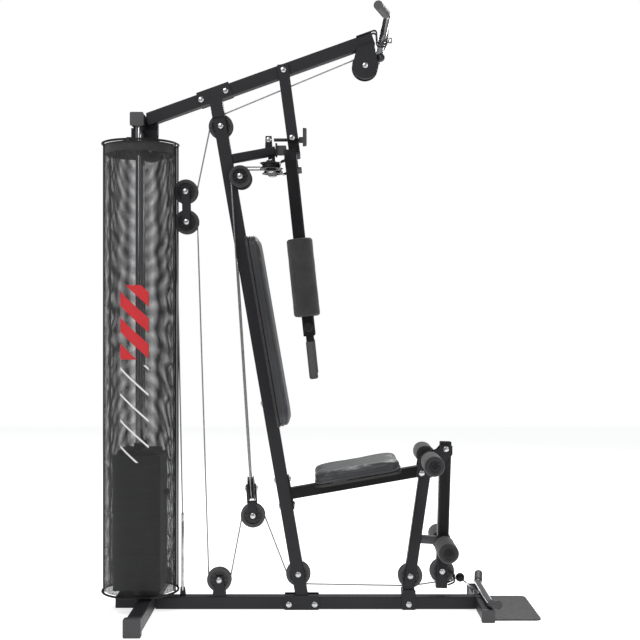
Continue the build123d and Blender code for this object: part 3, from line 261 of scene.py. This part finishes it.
def net_fabric(centre, pitch):
    """Black mesh with round holes, and a generic print of slanted bars on the side."""
    n = Nodes("net_fabric")
    arc, height = round_shroud(n, centre)
    rate = 2 * math.pi / pitch
    rows = n.math("SINE", n.math("MULTIPLY", height, rate))
    columns = n.math("SINE", n.math("MULTIPLY", arc, rate))
    wave = n.math("MULTIPLY", rows, columns)
    holes = n.math("GREATER_THAN", wave, HOLE_LEVEL)
    holes_two = n.math("LESS_THAN", wave, -HOLE_LEVEL)
    open_share = n.math("MAXIMUM", holes, holes_two)

    slant = n.math("ADD", height, n.math("MULTIPLY", arc, 0.9))
    phase = n.math("FRACT", n.math("MULTIPLY", slant, BARS_PER_METRE))
    near = n.math("LESS_THAN", n.math("ABSOLUTE", arc), PRINT_HALF)

    def bars(shape, zone):
        middle_height, half_height = zone
        distance = n.math("ABSOLUTE", n.math("SUBTRACT", height, middle_height))
        inside = n.math("LESS_THAN", distance, half_height)
        return n.math("MULTIPLY", n.math("MULTIPLY", shape, near), inside)

    red = bars(n.math("GREATER_THAN", phase, 0.45), RED_BARS)
    white = bars(n.math("LESS_THAN", phase, 0.09), WHITE_BARS)
    ink = n.math("MAXIMUM", red, white)

    thread = n.ramp(n.noise(300, 3), (0.007, 0.007, 0.008), (0.022, 0.022, 0.024))
    colour = n.mix(red, thread, (0.55, 0.012, 0.018))
    colour = n.mix(white, colour, (0.75, 0.75, 0.75))
    edges = n.bump(open_share, 0.4, 0.0006)
    n.finish(colour, n.spread(n.noise(200, 3), 0.5, 0.75), edges, Sheen_Weight=0.1)
    clear = n.new("ShaderNodeBsdfTransparent")
    blend = n.new("ShaderNodeMixShader")
    see = n.math("MULTIPLY", open_share, n.math("SUBTRACT", 1.0, n.math("MULTIPLY", ink, 0.85)))
    n.link(see, blend.inputs[0])
    n.link(n.shader.outputs[0], blend.inputs[1])
    n.link(clear.outputs[0], blend.inputs[2])
    n.link(blend.outputs[0], n.output.inputs["Surface"])
    return n.material


def webbing():
    n = Nodes("webbing")
    weave = n.new("ShaderNodeTexWave", wave_type="BANDS", bands_direction="Z")
    weave.inputs["Scale"].default_value = 260
    n.link(n.place, weave.inputs["Vector"])
    colour = n.ramp(weave.outputs["Fac"], (0.008, 0.008, 0.009), (0.02, 0.02, 0.022))
    ribs = n.bump(weave.outputs["Fac"], 0.4, 0.0005)
    return n.finish(colour, n.spread(n.noise(90, 3), 0.6, 0.85), ribs, Sheen_Weight=0.3)


def studio_floor():
    n = Nodes("studio_floor")
    colour = n.ramp(n.noise(1.5, 3), (0.90, 0.90, 0.90), (0.93, 0.93, 0.93))
    rough = n.spread(n.noise(4, 3), 0.55, 0.7)
    glow = {"Emission_Color": (1, 1, 1, 1), "Emission_Strength": 0.76}
    return n.finish(colour, rough, Specular_IOR_Level=0.2, **glow)


net_low, net_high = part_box("shroud_net")
MATERIALS = {
    "black_steel": powder_coat(),
    "step_rubber": step_plate(),
    "cap_plastic": moulded_plastic(
        "cap_plastic", (0.009, 0.009, 0.010), (0.02, 0.02, 0.021), 0.45, 0.62, 700
    ),
    "chrome_rod": metal("chrome_rod", (0.55, 0.55, 0.56), (0.68, 0.68, 0.70), 0.08, 0.2),
    "zinc": metal("zinc", (0.42, 0.42, 0.43), (0.62, 0.62, 0.63), 0.22, 0.38),
    "vinyl": vinyl(),
    "board": board(),
    "net": net_fabric((net_low + net_high) / 2, 0.0062),
    "band": webbing(),
    "iron": cast_plate(),
    "cable": cable_skin(),
    "foam": foam(),
    "pulley": moulded_plastic(
        "pulley_nylon", (0.008, 0.008, 0.009), (0.016, 0.016, 0.017), 0.3, 0.45, 500
    ),
}
SLOT_OF = {part["node"]: part["material_slot"] for part in frame["record"]["subparts"]}


# ---------------------------------------------------------------- shapes
def new_piece(name, mesh, slot, body=None, stands_for=()):
    """A finished mesh as a piece: smooth, in its material, on its body."""
    piece = bpy.data.objects.new(name, mesh)
    bpy.context.scene.collection.objects.link(piece)
    mesh.materials.clear()
    mesh.materials.append(MATERIALS[slot])
    for face in mesh.polygons:
        face.use_smooth = True
    if stands_for:
        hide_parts(*stands_for)
    if body:
        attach(piece, body)
    return piece


def cross_frame(direction):
    side = direction.orthogonal().normalized()
    return side, direction.cross(side).normalized()


def straight(start, end, steps):
    """Evenly spaced points from start to end."""
    start, end = Vector(start), Vector(end)
    return [start.lerp(end, step / steps) for step in range(steps + 1)]


def bridge(mesh, pairs, sides):
    """Faces between each pair of rings."""
    for first, second in pairs:
        for step in range(sides):
            after = (step + 1) % sides
            mesh.faces.new((first[step], first[after], second[after], second[step]))


def mesh_data(mesh, name):
    """The finished mesh of a bmesh, which is freed."""
    data = bpy.data.meshes.new(name)
    mesh.to_mesh(data)
    mesh.free()
    return data


def tube_mesh(name, points, radius, sides=14, closed=False):
    """A round tube along a list of points, its ring turned as little as possible."""
    points = [Vector(point) for point in points]
    count = len(points)
    mesh = bmesh.new()
    rings = []
    side = None
    for index, point in enumerate(points):
        before = points[index - 1] if index or closed else point
        after = points[(index + 1) % count] if index < count - 1 or closed else point
        heading = (after - before).normalized()
        if side is None:
            side, _ = cross_frame(heading)
        side = (side - heading * side.dot(heading)).normalized()
        up = heading.cross(side)
        ring = []
        for step in range(sides):
            angle = 2 * math.pi * step / sides
            ring.append(mesh.verts.new(point + radius * (math.cos(angle) * side + math.sin(angle) * up)))
        rings.append(ring)
    pairs = list(zip(rings, rings[1:])) + ([(rings[-1], rings[0])] if closed else [])
    bridge(mesh, pairs, sides)
    if not closed:
        mesh.faces.new(list(reversed(rings[0])))
        mesh.faces.new(rings[-1])
    return mesh_data(mesh, name)


def lathe_mesh(name, origin, axis, outline, sides=64, wobble=0.0):
    """Turns (radius, distance) points round an axis; wobble dents the surface a little."""
    axis = Vector(axis).normalized()
    side, up = cross_frame(axis)
    mesh = bmesh.new()
    rings = []
    for radius, along in outline:
        ring = []
        for step in range(sides):
            angle = 2 * math.pi * step / sides
            out = math.cos(angle) * side + math.sin(angle) * up
            point = Vector(origin) + axis * along + out * radius
            if wobble:
                point += out * wobble * noise.noise(point * 22)
            ring.append(mesh.verts.new(point))
        rings.append(ring)
    bridge(mesh, zip(rings, rings[1:]), sides)
    bmesh.ops.recalc_face_normals(mesh, faces=mesh.faces)
    return mesh_data(mesh, name)


def islands(node):
    """The vertices of each separate solid of a CAD node."""
    mesh = bmesh.new()
    mesh.from_mesh(NODES[node].data)
    bmesh.ops.remove_doubles(mesh, verts=mesh.verts, dist=1e-6)
    mesh.verts.ensure_lookup_table()
    seen, groups = set(), []
    for start in mesh.verts:
        if start.index in seen:
            continue
        stack, group = [start], []
        seen.add(start.index)
        while stack:
            vert = stack.pop()
            group.append(vert.co.copy())
            for edge in vert.link_edges:
                other = edge.other_vert(vert)
                if other.index not in seen:
                    seen.add(other.index)
                    stack.append(other)
        groups.append(np.array([list(co) for co in group]))
    mesh.free()
    return groups


def principal(points):
    """A solid's middle, its three directions from the longest, and its length along each."""
    middle = (points.max(0) + points.min(0)) / 2
    _, vectors = np.linalg.eigh(np.cov((points - middle).T))
    axes = [Vector(vectors[:, index]) for index in (2, 1, 0)]
    spans = [np.ptp(points @ np.array(axis)) for axis in axes]
    centre = sum((axis * float((points @ np.array(axis)).max() + (points @ np.array(axis)).min()) / 2
                  for axis in axes), Vector())
    return centre, axes, spans


# ---------------------------------------------------------------- finish of the CAD nodes
HEAD_WIDTH = (0.0195, 0.0225)
BOLT_LENGTH = (0.0055, 0.08)


def zinc_bolts(node):
    """Gives a black node's own bolts a zinc face."""
    shape = NODES[node].data
    shape.materials.append(MATERIALS["zinc"])
    bolts = set()
    for group in islands(node):
        _, _, spans = principal(group)
        if HEAD_WIDTH[0] < spans[1] < HEAD_WIDTH[1] and BOLT_LENGTH[0] < spans[0] < BOLT_LENGTH[1]:
            bolts.update(map(tuple, group.round(5)))
    for face in shape.polygons:
        corners = np.array([shape.vertices[index].co for index in face.vertices]).round(5)
        if all(tuple(corner) in bolts for corner in corners):
            face.material_index = 1


for name, node in NODES.items():
    node.data.materials.clear()
    node.data.materials.append(MATERIALS[SLOT_OF[name]])
for name in ("float_block", "cross_block", "swing_frame", "leg_lever"):
    zinc_bolts(name)


# ---------------------------------------------------------------- cushions
def inflate(piece, cap):
    """Fills a cushion with air in a short cloth simulation; no point moves more than cap."""
    start = np.array([vert.co for vert in piece.data.vertices])
    cloth = piece.modifiers.new("air", "CLOTH")
    settings = cloth.settings
    settings.use_pressure = True
    settings.uniform_pressure_force = 4.0
    settings.effector_weights.gravity = 0.0
    settings.quality = 5
    settings.mass = 0.3
    cloth.point_cache.frame_start = 1
    cloth.point_cache.frame_end = 20
    scene = bpy.context.scene
    for step in range(1, 21):
        scene.frame_set(step)
    graph = bpy.context.evaluated_depsgraph_get()
    shaped = np.array([vert.co for vert in piece.evaluated_get(graph).data.vertices])
    piece.modifiers.clear()
    move = shaped - start
    length = np.linalg.norm(move, axis=1, keepdims=True)
    move *= np.minimum(1.0, cap / np.maximum(length, 1e-9))
    for vert, delta in zip(piece.data.vertices, move):
        vert.co += Vector(delta)
    scene.frame_set(1)


BOARD_THICK = float(min(principal(islands("pad_boards")[0])[2]))
COVER_TURN = 0.009         # how far the cover reaches in under the board
PAD_CORNER = 0.05          # corner radius of a pad
PIPING_RISE = 0.010        # from the board up to the piping
VOXEL = 0.006              # size of the cover's faces
PUFF = 0.009               # how far the stuffing may push the cover out


def rim_distance(along, across, half_length, half_width):
    """How far inside a rounded rectangle a point lies."""
    beyond_length = abs(along) - half_length + PAD_CORNER
    beyond_width = abs(across) - half_width + PAD_CORNER
    outside = math.hypot(max(beyond_length, 0), max(beyond_width, 0))
    return PAD_CORNER - outside - min(max(beyond_length, beyond_width), 0)


def build_cushion(node, side_of_board, cap):
    """A stuffed vinyl pad grown from its CAD solid, with a piped seam round its lower edge."""
    shape = NODES[node].data.copy()
    centre, axes, spans = principal(np.array([vert.co for vert in shape.vertices]))
    rise = axes[2] if axes[2].dot(side_of_board) > 0 else -axes[2]
    own = Matrix((axes[0], rise.cross(axes[0]), rise)).transposed().to_4x4()
    own.translation = centre
    shape.transform(own.inverted())
    piece = new_piece(f"{node}_pad", shape, "vinyl")
    bpy.context.view_layer.objects.active = piece
    remesh = piece.modifiers.new("even", "REMESH")
    remesh.mode = "VOXEL"
    remesh.voxel_size = VOXEL
    graph = bpy.context.evaluated_depsgraph_get()
    even = bpy.data.meshes.new_from_object(piece.evaluated_get(graph))
    piece.modifiers.clear()
    piece.data = even
    even.transform(own)
    even.update()
    points = np.array([vert.co for vert in even.vertices])
    normals = np.array([vert.normal for vert in even.vertices])
    height = (points - np.array(centre)) @ np.array(rise)
    flat = np.clip((height + spans[2] / 2) / 0.012, 0, 1)
    for vert, normal, share in zip(even.vertices, normals, flat):
        vert.co -= Vector(normal) * 0.004 * float(share)
    inflate(piece, cap)
    board_plane = centre - rise * (spans[2] / 2)
    across = rise.cross(axes[0])
    for vert in even.vertices:
        offset = vert.co - board_plane
        below = offset.dot(rise)
        if below < 0.0005:
            vert.co += rise * (0.0005 - below)
        edge = rim_distance(offset.dot(axes[0]), offset.dot(across), spans[0] / 2, spans[1] / 2)
        if below < 0.003 and edge < COVER_TURN:
            vert.co -= rise * BOARD_THICK
    rounder = piece.modifiers.new("rounder", "SUBSURF")
    rounder.levels = rounder.render_levels = 1
    even.materials.clear()
    even.materials.append(MATERIALS["vinyl"])
    for face in even.polygons:
        face.use_smooth = True
    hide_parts(node)
    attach(piece, "frame")
    seam_at(even, board_plane + rise * PIPING_RISE, rise, f"{node}_piping")


def seam_at(shape, place, rise, name):
    """A thin piping where a plane cuts the pad."""
    cut = bmesh.new()
    cut.from_mesh(shape)
    geometry = cut.verts[:] + cut.edges[:] + cut.faces[:]
    result = bmesh.ops.bisect_plane(cut, geom=geometry, plane_co=place, plane_no=rise)
    edges = [item for item in result["geom_cut"] if isinstance(item, bmesh.types.BMEdge)]
    links = {}
    for edge in edges:
        first, second = edge.verts
        links.setdefault(first, []).append(second)
        links.setdefault(second, []).append(first)
    start = edges[0].verts[0]
    loop, last = [start], None
    while True:
        steps = [vert for vert in links[loop[-1]] if vert is not last]
        if not steps or steps[0] is start or len(loop) > len(edges):
            break
        last = loop[-1]
        loop.append(steps[0])
    points = [vert.co.copy() for vert in loop][::2]
    cut.free()
    new_piece(name, tube_mesh(name, points, 0.0023, 8, closed=True), "vinyl", "frame")


build_cushion("seat_cushion", Vector((0, 0, 1)), PUFF)
build_cushion("back_cushion", Vector((1, 0, 0)), PUFF)


# ---------------------------------------------------------------- foam rollers
def build_foam(node, body):
    """Foam sleeves with soft ends, a bore for the tube and a slightly uneven skin."""
    for index, group in enumerate(islands(node)):
        centre, axes, spans = principal(group)
        axis, length, radius = axes[0], float(spans[0]), float(spans[1]) / 2
        bore = radius * 0.3 if node.endswith("rollers") else radius * 0.45
        half, soft = length / 2, 0.010
        inner = radius - soft
        quarter = [math.pi / 2 * step / 6 for step in range(1, 7)]
        outline = [(bore, -half + 0.006), (bore + 0.004, -half + 0.001), (inner, -half)]
        for angle in quarter:
            outline.append((inner + soft * math.sin(angle), -half + soft - soft * math.cos(angle)))
        for step in range(1, 24):
            outline.append((radius, -half + soft + (length - 2 * soft) * step / 24))
        for angle in reversed(quarter):
            outline.append((inner + soft * math.sin(angle), half - soft + soft * math.cos(angle)))
        outline += [(inner, half), (bore + 0.004, half - 0.001), (bore, half - 0.006)]
        name = f"{node}_sleeve_{index}"
        mesh = lathe_mesh(name, centre, axis, outline, 72, 0.0016)
        sleeve = new_piece(name, mesh, "foam", body, [node])


for foam_node, foam_body in (
    ("knee_rollers", "frame"),
    ("ankle_rollers", "lever"),
    ("near_foam", "near_arm"),
    ("far_foam", "far_arm"),
):
    build_foam(foam_node, foam_body)


# ---------------------------------------------------------------- shroud
def shell_wall(name, node, slot, thick=0.0012):
    """A thin curved wall, a little slack, with a hem each side of its slit."""
    low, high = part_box(node)
    centre = (low + high) / 2
    radius = (high.y - low.y) / 2
    centre.x = low.x + radius
    slit = math.acos(min(1.0, (high.x - centre.x) / radius))
    mesh = bmesh.new()
    around, up = 120, 40
    columns = []
    for step in range(around + 1):
        angle = slit + (2 * math.pi - 2 * slit) * step / around
        column = []
        for level in range(up + 1):
            height = low.z + (high.z - low.z) * level / up
            slack = 0.0012 * math.sin(level * 0.9 + 3 * math.sin(angle * 2))
            reach = radius - 0.0016 - abs(slack)
            place = (centre.x + reach * math.cos(angle), reach * math.sin(angle), height)
            column.append(mesh.verts.new(place))
        columns.append(column)
    for first, second in zip(columns, columns[1:]):
        for level in range(up):
            mesh.faces.new((first[level], second[level], second[level + 1], first[level + 1]))
    piece = new_piece(name, mesh_data(mesh, name), slot, "frame", [node])
    wall = piece.modifiers.new("cloth", "SOLIDIFY")
    wall.thickness = thick
    hem = radius - 0.002
    for end, label in ((slit, "near"), (2 * math.pi - slit, "far")):
        foot = Vector((centre.x + hem * math.cos(end), hem * math.sin(end), low.z))
        top = Vector((foot.x, foot.y, high.z))
        edge = straight(foot, top, 30)
        new_piece(f"{name}_hem_{label}", tube_mesh(name, edge, 0.0022, 8), "band", "frame")


shell_wall("net_wall", "shroud_net", "net")
shell_wall("band_wall", "shroud_band", "band", 0.0018)


# ---------------------------------------------------------------- cables
def middle(node):
    low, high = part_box(node)
    return (low + high) / 2


def wheel(name, turn):
    """A pulley as a circle in X and Z; turn is +1 where the cable passes on its left."""
    low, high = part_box(f"pulley_{name}")
    centre = (low + high) / 2
    return centre.x, centre.z, turn * ((high.z - low.z) / 2 - RIM_LIP)


def tangent(first, second):
    """Where a straight run leaves one circle and meets the next."""
    (x1, z1, r1), (x2, z2, r2) = first, second
    normal = math.atan2(z2 - z1, x2 - x1) + math.acos((r1 - r2) / math.hypot(x2 - x1, z2 - z1))
    nx, nz = math.cos(normal), math.sin(normal)
    return (x1 + r1 * nx, z1 + r1 * nz), (x2 + r2 * nx, z2 + r2 * nz)


def arc_points(circle, arrive, leave, steps=22):
    """Points round a circle from where the cable arrives to where it leaves."""
    x, z, radius = circle
    first = math.atan2(arrive[1] - z, arrive[0] - x)
    last = math.atan2(leave[1] - z, leave[0] - x)
    sweep = -((first - last) % (2 * math.pi)) if radius > 0 else (last - first) % (2 * math.pi)
    angles = [first + sweep * step / steps for step in range(steps + 1)]
    return [(x + abs(radius) * math.cos(angle), z + abs(radius) * math.sin(angle)) for angle in angles]


def cable_run(name, start, end, node, from_body, to_body):
    """A straight length of cable, on its body when both ends share one; between two bodies it stays on no
    body.
    """
    mesh = tube_mesh(name, straight(start, end, 16), CABLE_RADIUS)
    piece = new_piece(name, mesh, "cable", None, [node])
    if from_body == to_body:
        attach(piece, from_body)
    else:
        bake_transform(piece)


def lay_cable(node, stations, bodies):
    """A cable in the middle plane: a run between each two stations and an arc round each pulley."""
    runs = [tangent(first, second) for first, second in zip(stations, stations[1:])]
    for index, (start, end) in enumerate(runs):
        first, second = Vector((start[0], 0, start[1])), Vector((end[0], 0, end[1]))
        cable_run(f"{node}_run_{index}", first, second, node, bodies[index], bodies[index + 1])
    for index in range(1, len(stations) - 1):
        arc = arc_points(stations[index], runs[index - 1][1], runs[index][0])
        points = [(x, 0, z) for x, z in arc]
        name = f"{node}_bend_{index}"
        new_piece(name, tube_mesh(name, points, CABLE_RADIUS), "cable", bodies[index], [node])


def ball_centres(node):
    """The middles of a node's ball stops."""
    found = []
    for group in islands(node):
        centre, _, spans = principal(group)
        if min(spans) > BALL_THIN and max(spans) < BALL_THICK:
            found.append(centre)
    return found


head_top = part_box("head_plate")[1].z
stack_x = middle("guide_rods").x
high_ball = ball_centres("cable_fittings")[0]
low_ball = ball_centres("leg_lever")[0]

lay_cable(
    "lat_cable",
    [(stack_x, head_top, 0.0), wheel("rear_top", 1), wheel("float_high", -1), wheel("upright_top", 1),
     wheel("lat", 1), (high_ball.x, high_ball.z, 0.0)],
    ["stack", "frame", "float", "frame", "frame", "frame"],
)


def chain_pieces():
    """Links, screw link, ferrule and high ball stop, each where its CAD solid is."""
    for index, group in enumerate(islands("cable_fittings")):
        centre, axes, spans = principal(group)
        long, wide, thin = (float(span) for span in spans)
        name = f"fitting_{index}"
        if thin > BALL_THIN:
            build_ball(name, centre, "frame", ["cable_fittings"])
        elif thin > 0.008:
            top = centre + Vector((0, 0, long / 2))
            half = long / 2
            shape = [(0.0, -half), (0.0044, -half), (0.005, -half + 0.001), (0.005, -0.002),
                     (0.0046, 0.0), (0.005, 0.002), (0.005, half - 0.001), (0.0044, half), (0.0, half)]
            mesh = lathe_mesh(name, centre, (0, 0, 1), shape, 28)
            new_piece(name, mesh, "zinc", "frame", ["cable_fittings"])
        else:
            wire_link(name, centre, axes[0], axes[1], long, wide, long > 0.045)
    return top


def wire_link(name, centre, heading, side, length, width, screw):
    """A closed link of round wire; a screw link also has its threaded sleeve."""
    radius = width / 2 - WIRE
    reach = length / 2 - width / 2
    points = []
    for end, first in ((1, -90), (-1, 90)):
        for step in range(13):
            angle = math.radians(first + 180 * step / 12)
            across = math.sin(angle) * radius
            along = end * reach + math.cos(angle) * radius
            points.append(centre + heading * along + side * across)
    mesh = tube_mesh(name, points, WIRE, 12, closed=True)
    new_piece(name, mesh, "zinc", "frame", ["cable_fittings"])
    if screw:
        sleeve = [(0.0022, -0.009), (0.0036, -0.008), (0.0036, 0.008), (0.0022, 0.009)]
        label = f"{name}_sleeve"
        mesh = lathe_mesh(label, centre + side * radius, heading, sleeve, 6)
        new_piece(label, mesh, "zinc", "frame")


def build_ball(name, centre, body, nodes=()):
    """A moulded ball stop with a collar each side."""
    radius = 0.0158
    outline = [(0.0, -radius), (0.006, -radius)]
    for step in range(2, 19):
        angle = math.pi * step / 20
        ridge = 0.0004 if step in (9, 10, 11) else 0.0
        outline.append(((radius + ridge) * math.sin(angle), -radius * math.cos(angle)))
    outline += [(0.006, radius), (0.0, radius)]
    new_piece(name, lathe_mesh(name, centre, (0, 1, 0), outline, 40), "cap_plastic", body, nodes)


ferrule_top = chain_pieces()
lay_cable(
    "low_cable",
    [(ferrule_top.x, ferrule_top.z, 0.0), wheel("float_low", 1), wheel("base", -1), wheel("cross_low", 1),
     wheel("upright_low", -1), wheel("post", -1), wheel("lever", -1), (low_ball.x, low_ball.z, 0.0)],
    ["frame", "float", "frame", "cross", "frame", "frame", "lever", "lever"],
)


def lay_butterfly_cable():
    """Arm, flat pulley, upright pulley, under the travelling block and back on the far side."""
    back_x, back_z, run = wheel("back_near", 1)
    leg_y = abs(middle("pulley_back_near").y)
    level = back_z + run
    yoke = middle("pulley_yoke_near")
    cross = middle("pulley_cross_high")
    start_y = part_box("fly_cable")[0].y
    top, _ = tangent((back_x, back_z, -run), (cross.x, cross.z, 0.0))
    down = (Vector((cross.x, 0, cross.z)) - Vector((top[0], 0, top[1]))).normalized()
    over = arc_points((back_x, back_z, -run), (back_x, level), top)
    anchor_x = yoke.x + run + 0.004
    turn = [(yoke.x + run * math.cos(math.radians(angle)),
             yoke.y + run * math.sin(math.radians(angle)))
            for angle in range(-6, 91, 6)]
    for side, label in ((1, "near"), (-1, "far")):
        start = Vector((anchor_x, side * start_y, level))
        bend = [(x, side * y, level) for x, y in turn]
        name = f"fly_cable_{label}"
        cable_run(f"{name}_end", start, bend[0], "fly_cable", "swing", "frame")
        new_piece(f"{name}_flat", tube_mesh(name, bend, CABLE_RADIUS), "cable", "frame", ["fly_cable"])
        back = (back_x, -side * leg_y, level)
        cable_run(f"{name}_level", bend[-1], back, "fly_cable", "frame", "frame")
        bend = [(x, -side * leg_y, z) for x, z in over]
        new_piece(f"{name}_over", tube_mesh(name, bend, CABLE_RADIUS), "cable", "frame", ["fly_cable"])
        foot = (cross.x, -side * leg_y, cross.z)
        head = (top[0], -side * leg_y, top[1])
        cable_run(f"{name}_leg", head, foot, "fly_cable", "frame", "cross")
        eye = [(0.0026, 0.0), (0.0046, 0.0), (0.0046, 0.016), (0.0026, 0.018)]
        collar = lathe_mesh(f"{name}_collar", start, (0, side, 0), eye, 24)
        new_piece(f"{name}_collar", collar, "zinc", "swing")
    under = []
    for step in range(25):
        angle = math.pi * step / 24
        across = Vector((cross.x, -leg_y * math.cos(angle), cross.z))
        under.append(across + down * leg_y * math.sin(angle))
    mesh = tube_mesh("fly_cable_under", under, CABLE_RADIUS)
    new_piece("fly_cable_under", mesh, "cable", "cross", ["fly_cable"])


lay_butterfly_cable()


# ---------------------------------------------------------------- room, light and camera
FLOOR_SIZE = 14


def studio():
    """A white room: the backdrop is bright where it is seen, and lights the machine softly."""
    bpy.ops.mesh.primitive_plane_add(size=FLOOR_SIZE, location=(0, 0, 0))
    floor = bpy.context.object
    floor.name = "floor"
    floor.data.materials.append(studio_floor())
    bpy.context.scene.view_settings.view_transform = "Standard"
    world = bpy.data.worlds.new("studio")
    bpy.context.scene.world = world
    world.use_nodes = True
    tree = world.node_tree
    seen = tree.nodes["Background"]
    seen.inputs["Color"].default_value = (1, 1, 1, 1)
    seen.inputs["Strength"].default_value = 1.0
    soft = tree.nodes.new("ShaderNodeBackground")
    soft.inputs["Color"].default_value = (0.96, 0.98, 1, 1)
    soft.inputs["Strength"].default_value = 0.2
    path = tree.nodes.new("ShaderNodeLightPath")
    either = tree.nodes.new("ShaderNodeMixShader")
    tree.links.new(path.outputs["Is Camera Ray"], either.inputs[0])
    tree.links.new(soft.outputs[0], either.inputs[1])
    tree.links.new(seen.outputs[0], either.inputs[2])
    tree.links.new(either.outputs[0], tree.nodes["World Output"].inputs["Surface"])
    lamps = (
        ("key", (-1.6, -2.4, 3.9), 2.2, 85),
        ("fill", (2.6, -2.8, 2.4), 1.8, 30),
        ("rim", (0.9, 2.4, 3.4), 2.4, 120),
    )
    for name, place, size, power in lamps:
        light = bpy.data.lights.new(name, "AREA")
        light.energy = power
        light.size = size
        lamp = bpy.data.objects.new(name, light)
        lamp.location = place
        lamp.rotation_euler = (Vector((0, 0, 1.0)) - Vector(place)).to_track_quat("-Z", "Y").to_euler()
        bpy.context.scene.collection.objects.link(lamp)


VIEW_SLOPE = 0.28095       # half the view's width for each metre of distance


def camera():
    """Level, looking along +Y at the machine's side from a little over four metres."""
    lens = bpy.data.cameras.new("camera")
    lens.sensor_fit = "HORIZONTAL"
    lens.angle = 2 * math.atan(VIEW_SLOPE)
    view = bpy.data.objects.new("camera", lens)
    view.location = (0.010, -4.1, 1.038)
    view.rotation_euler = (math.pi / 2, 0, 0)
    bpy.context.scene.collection.objects.link(view)
    bpy.context.scene.camera = view


studio()
camera()
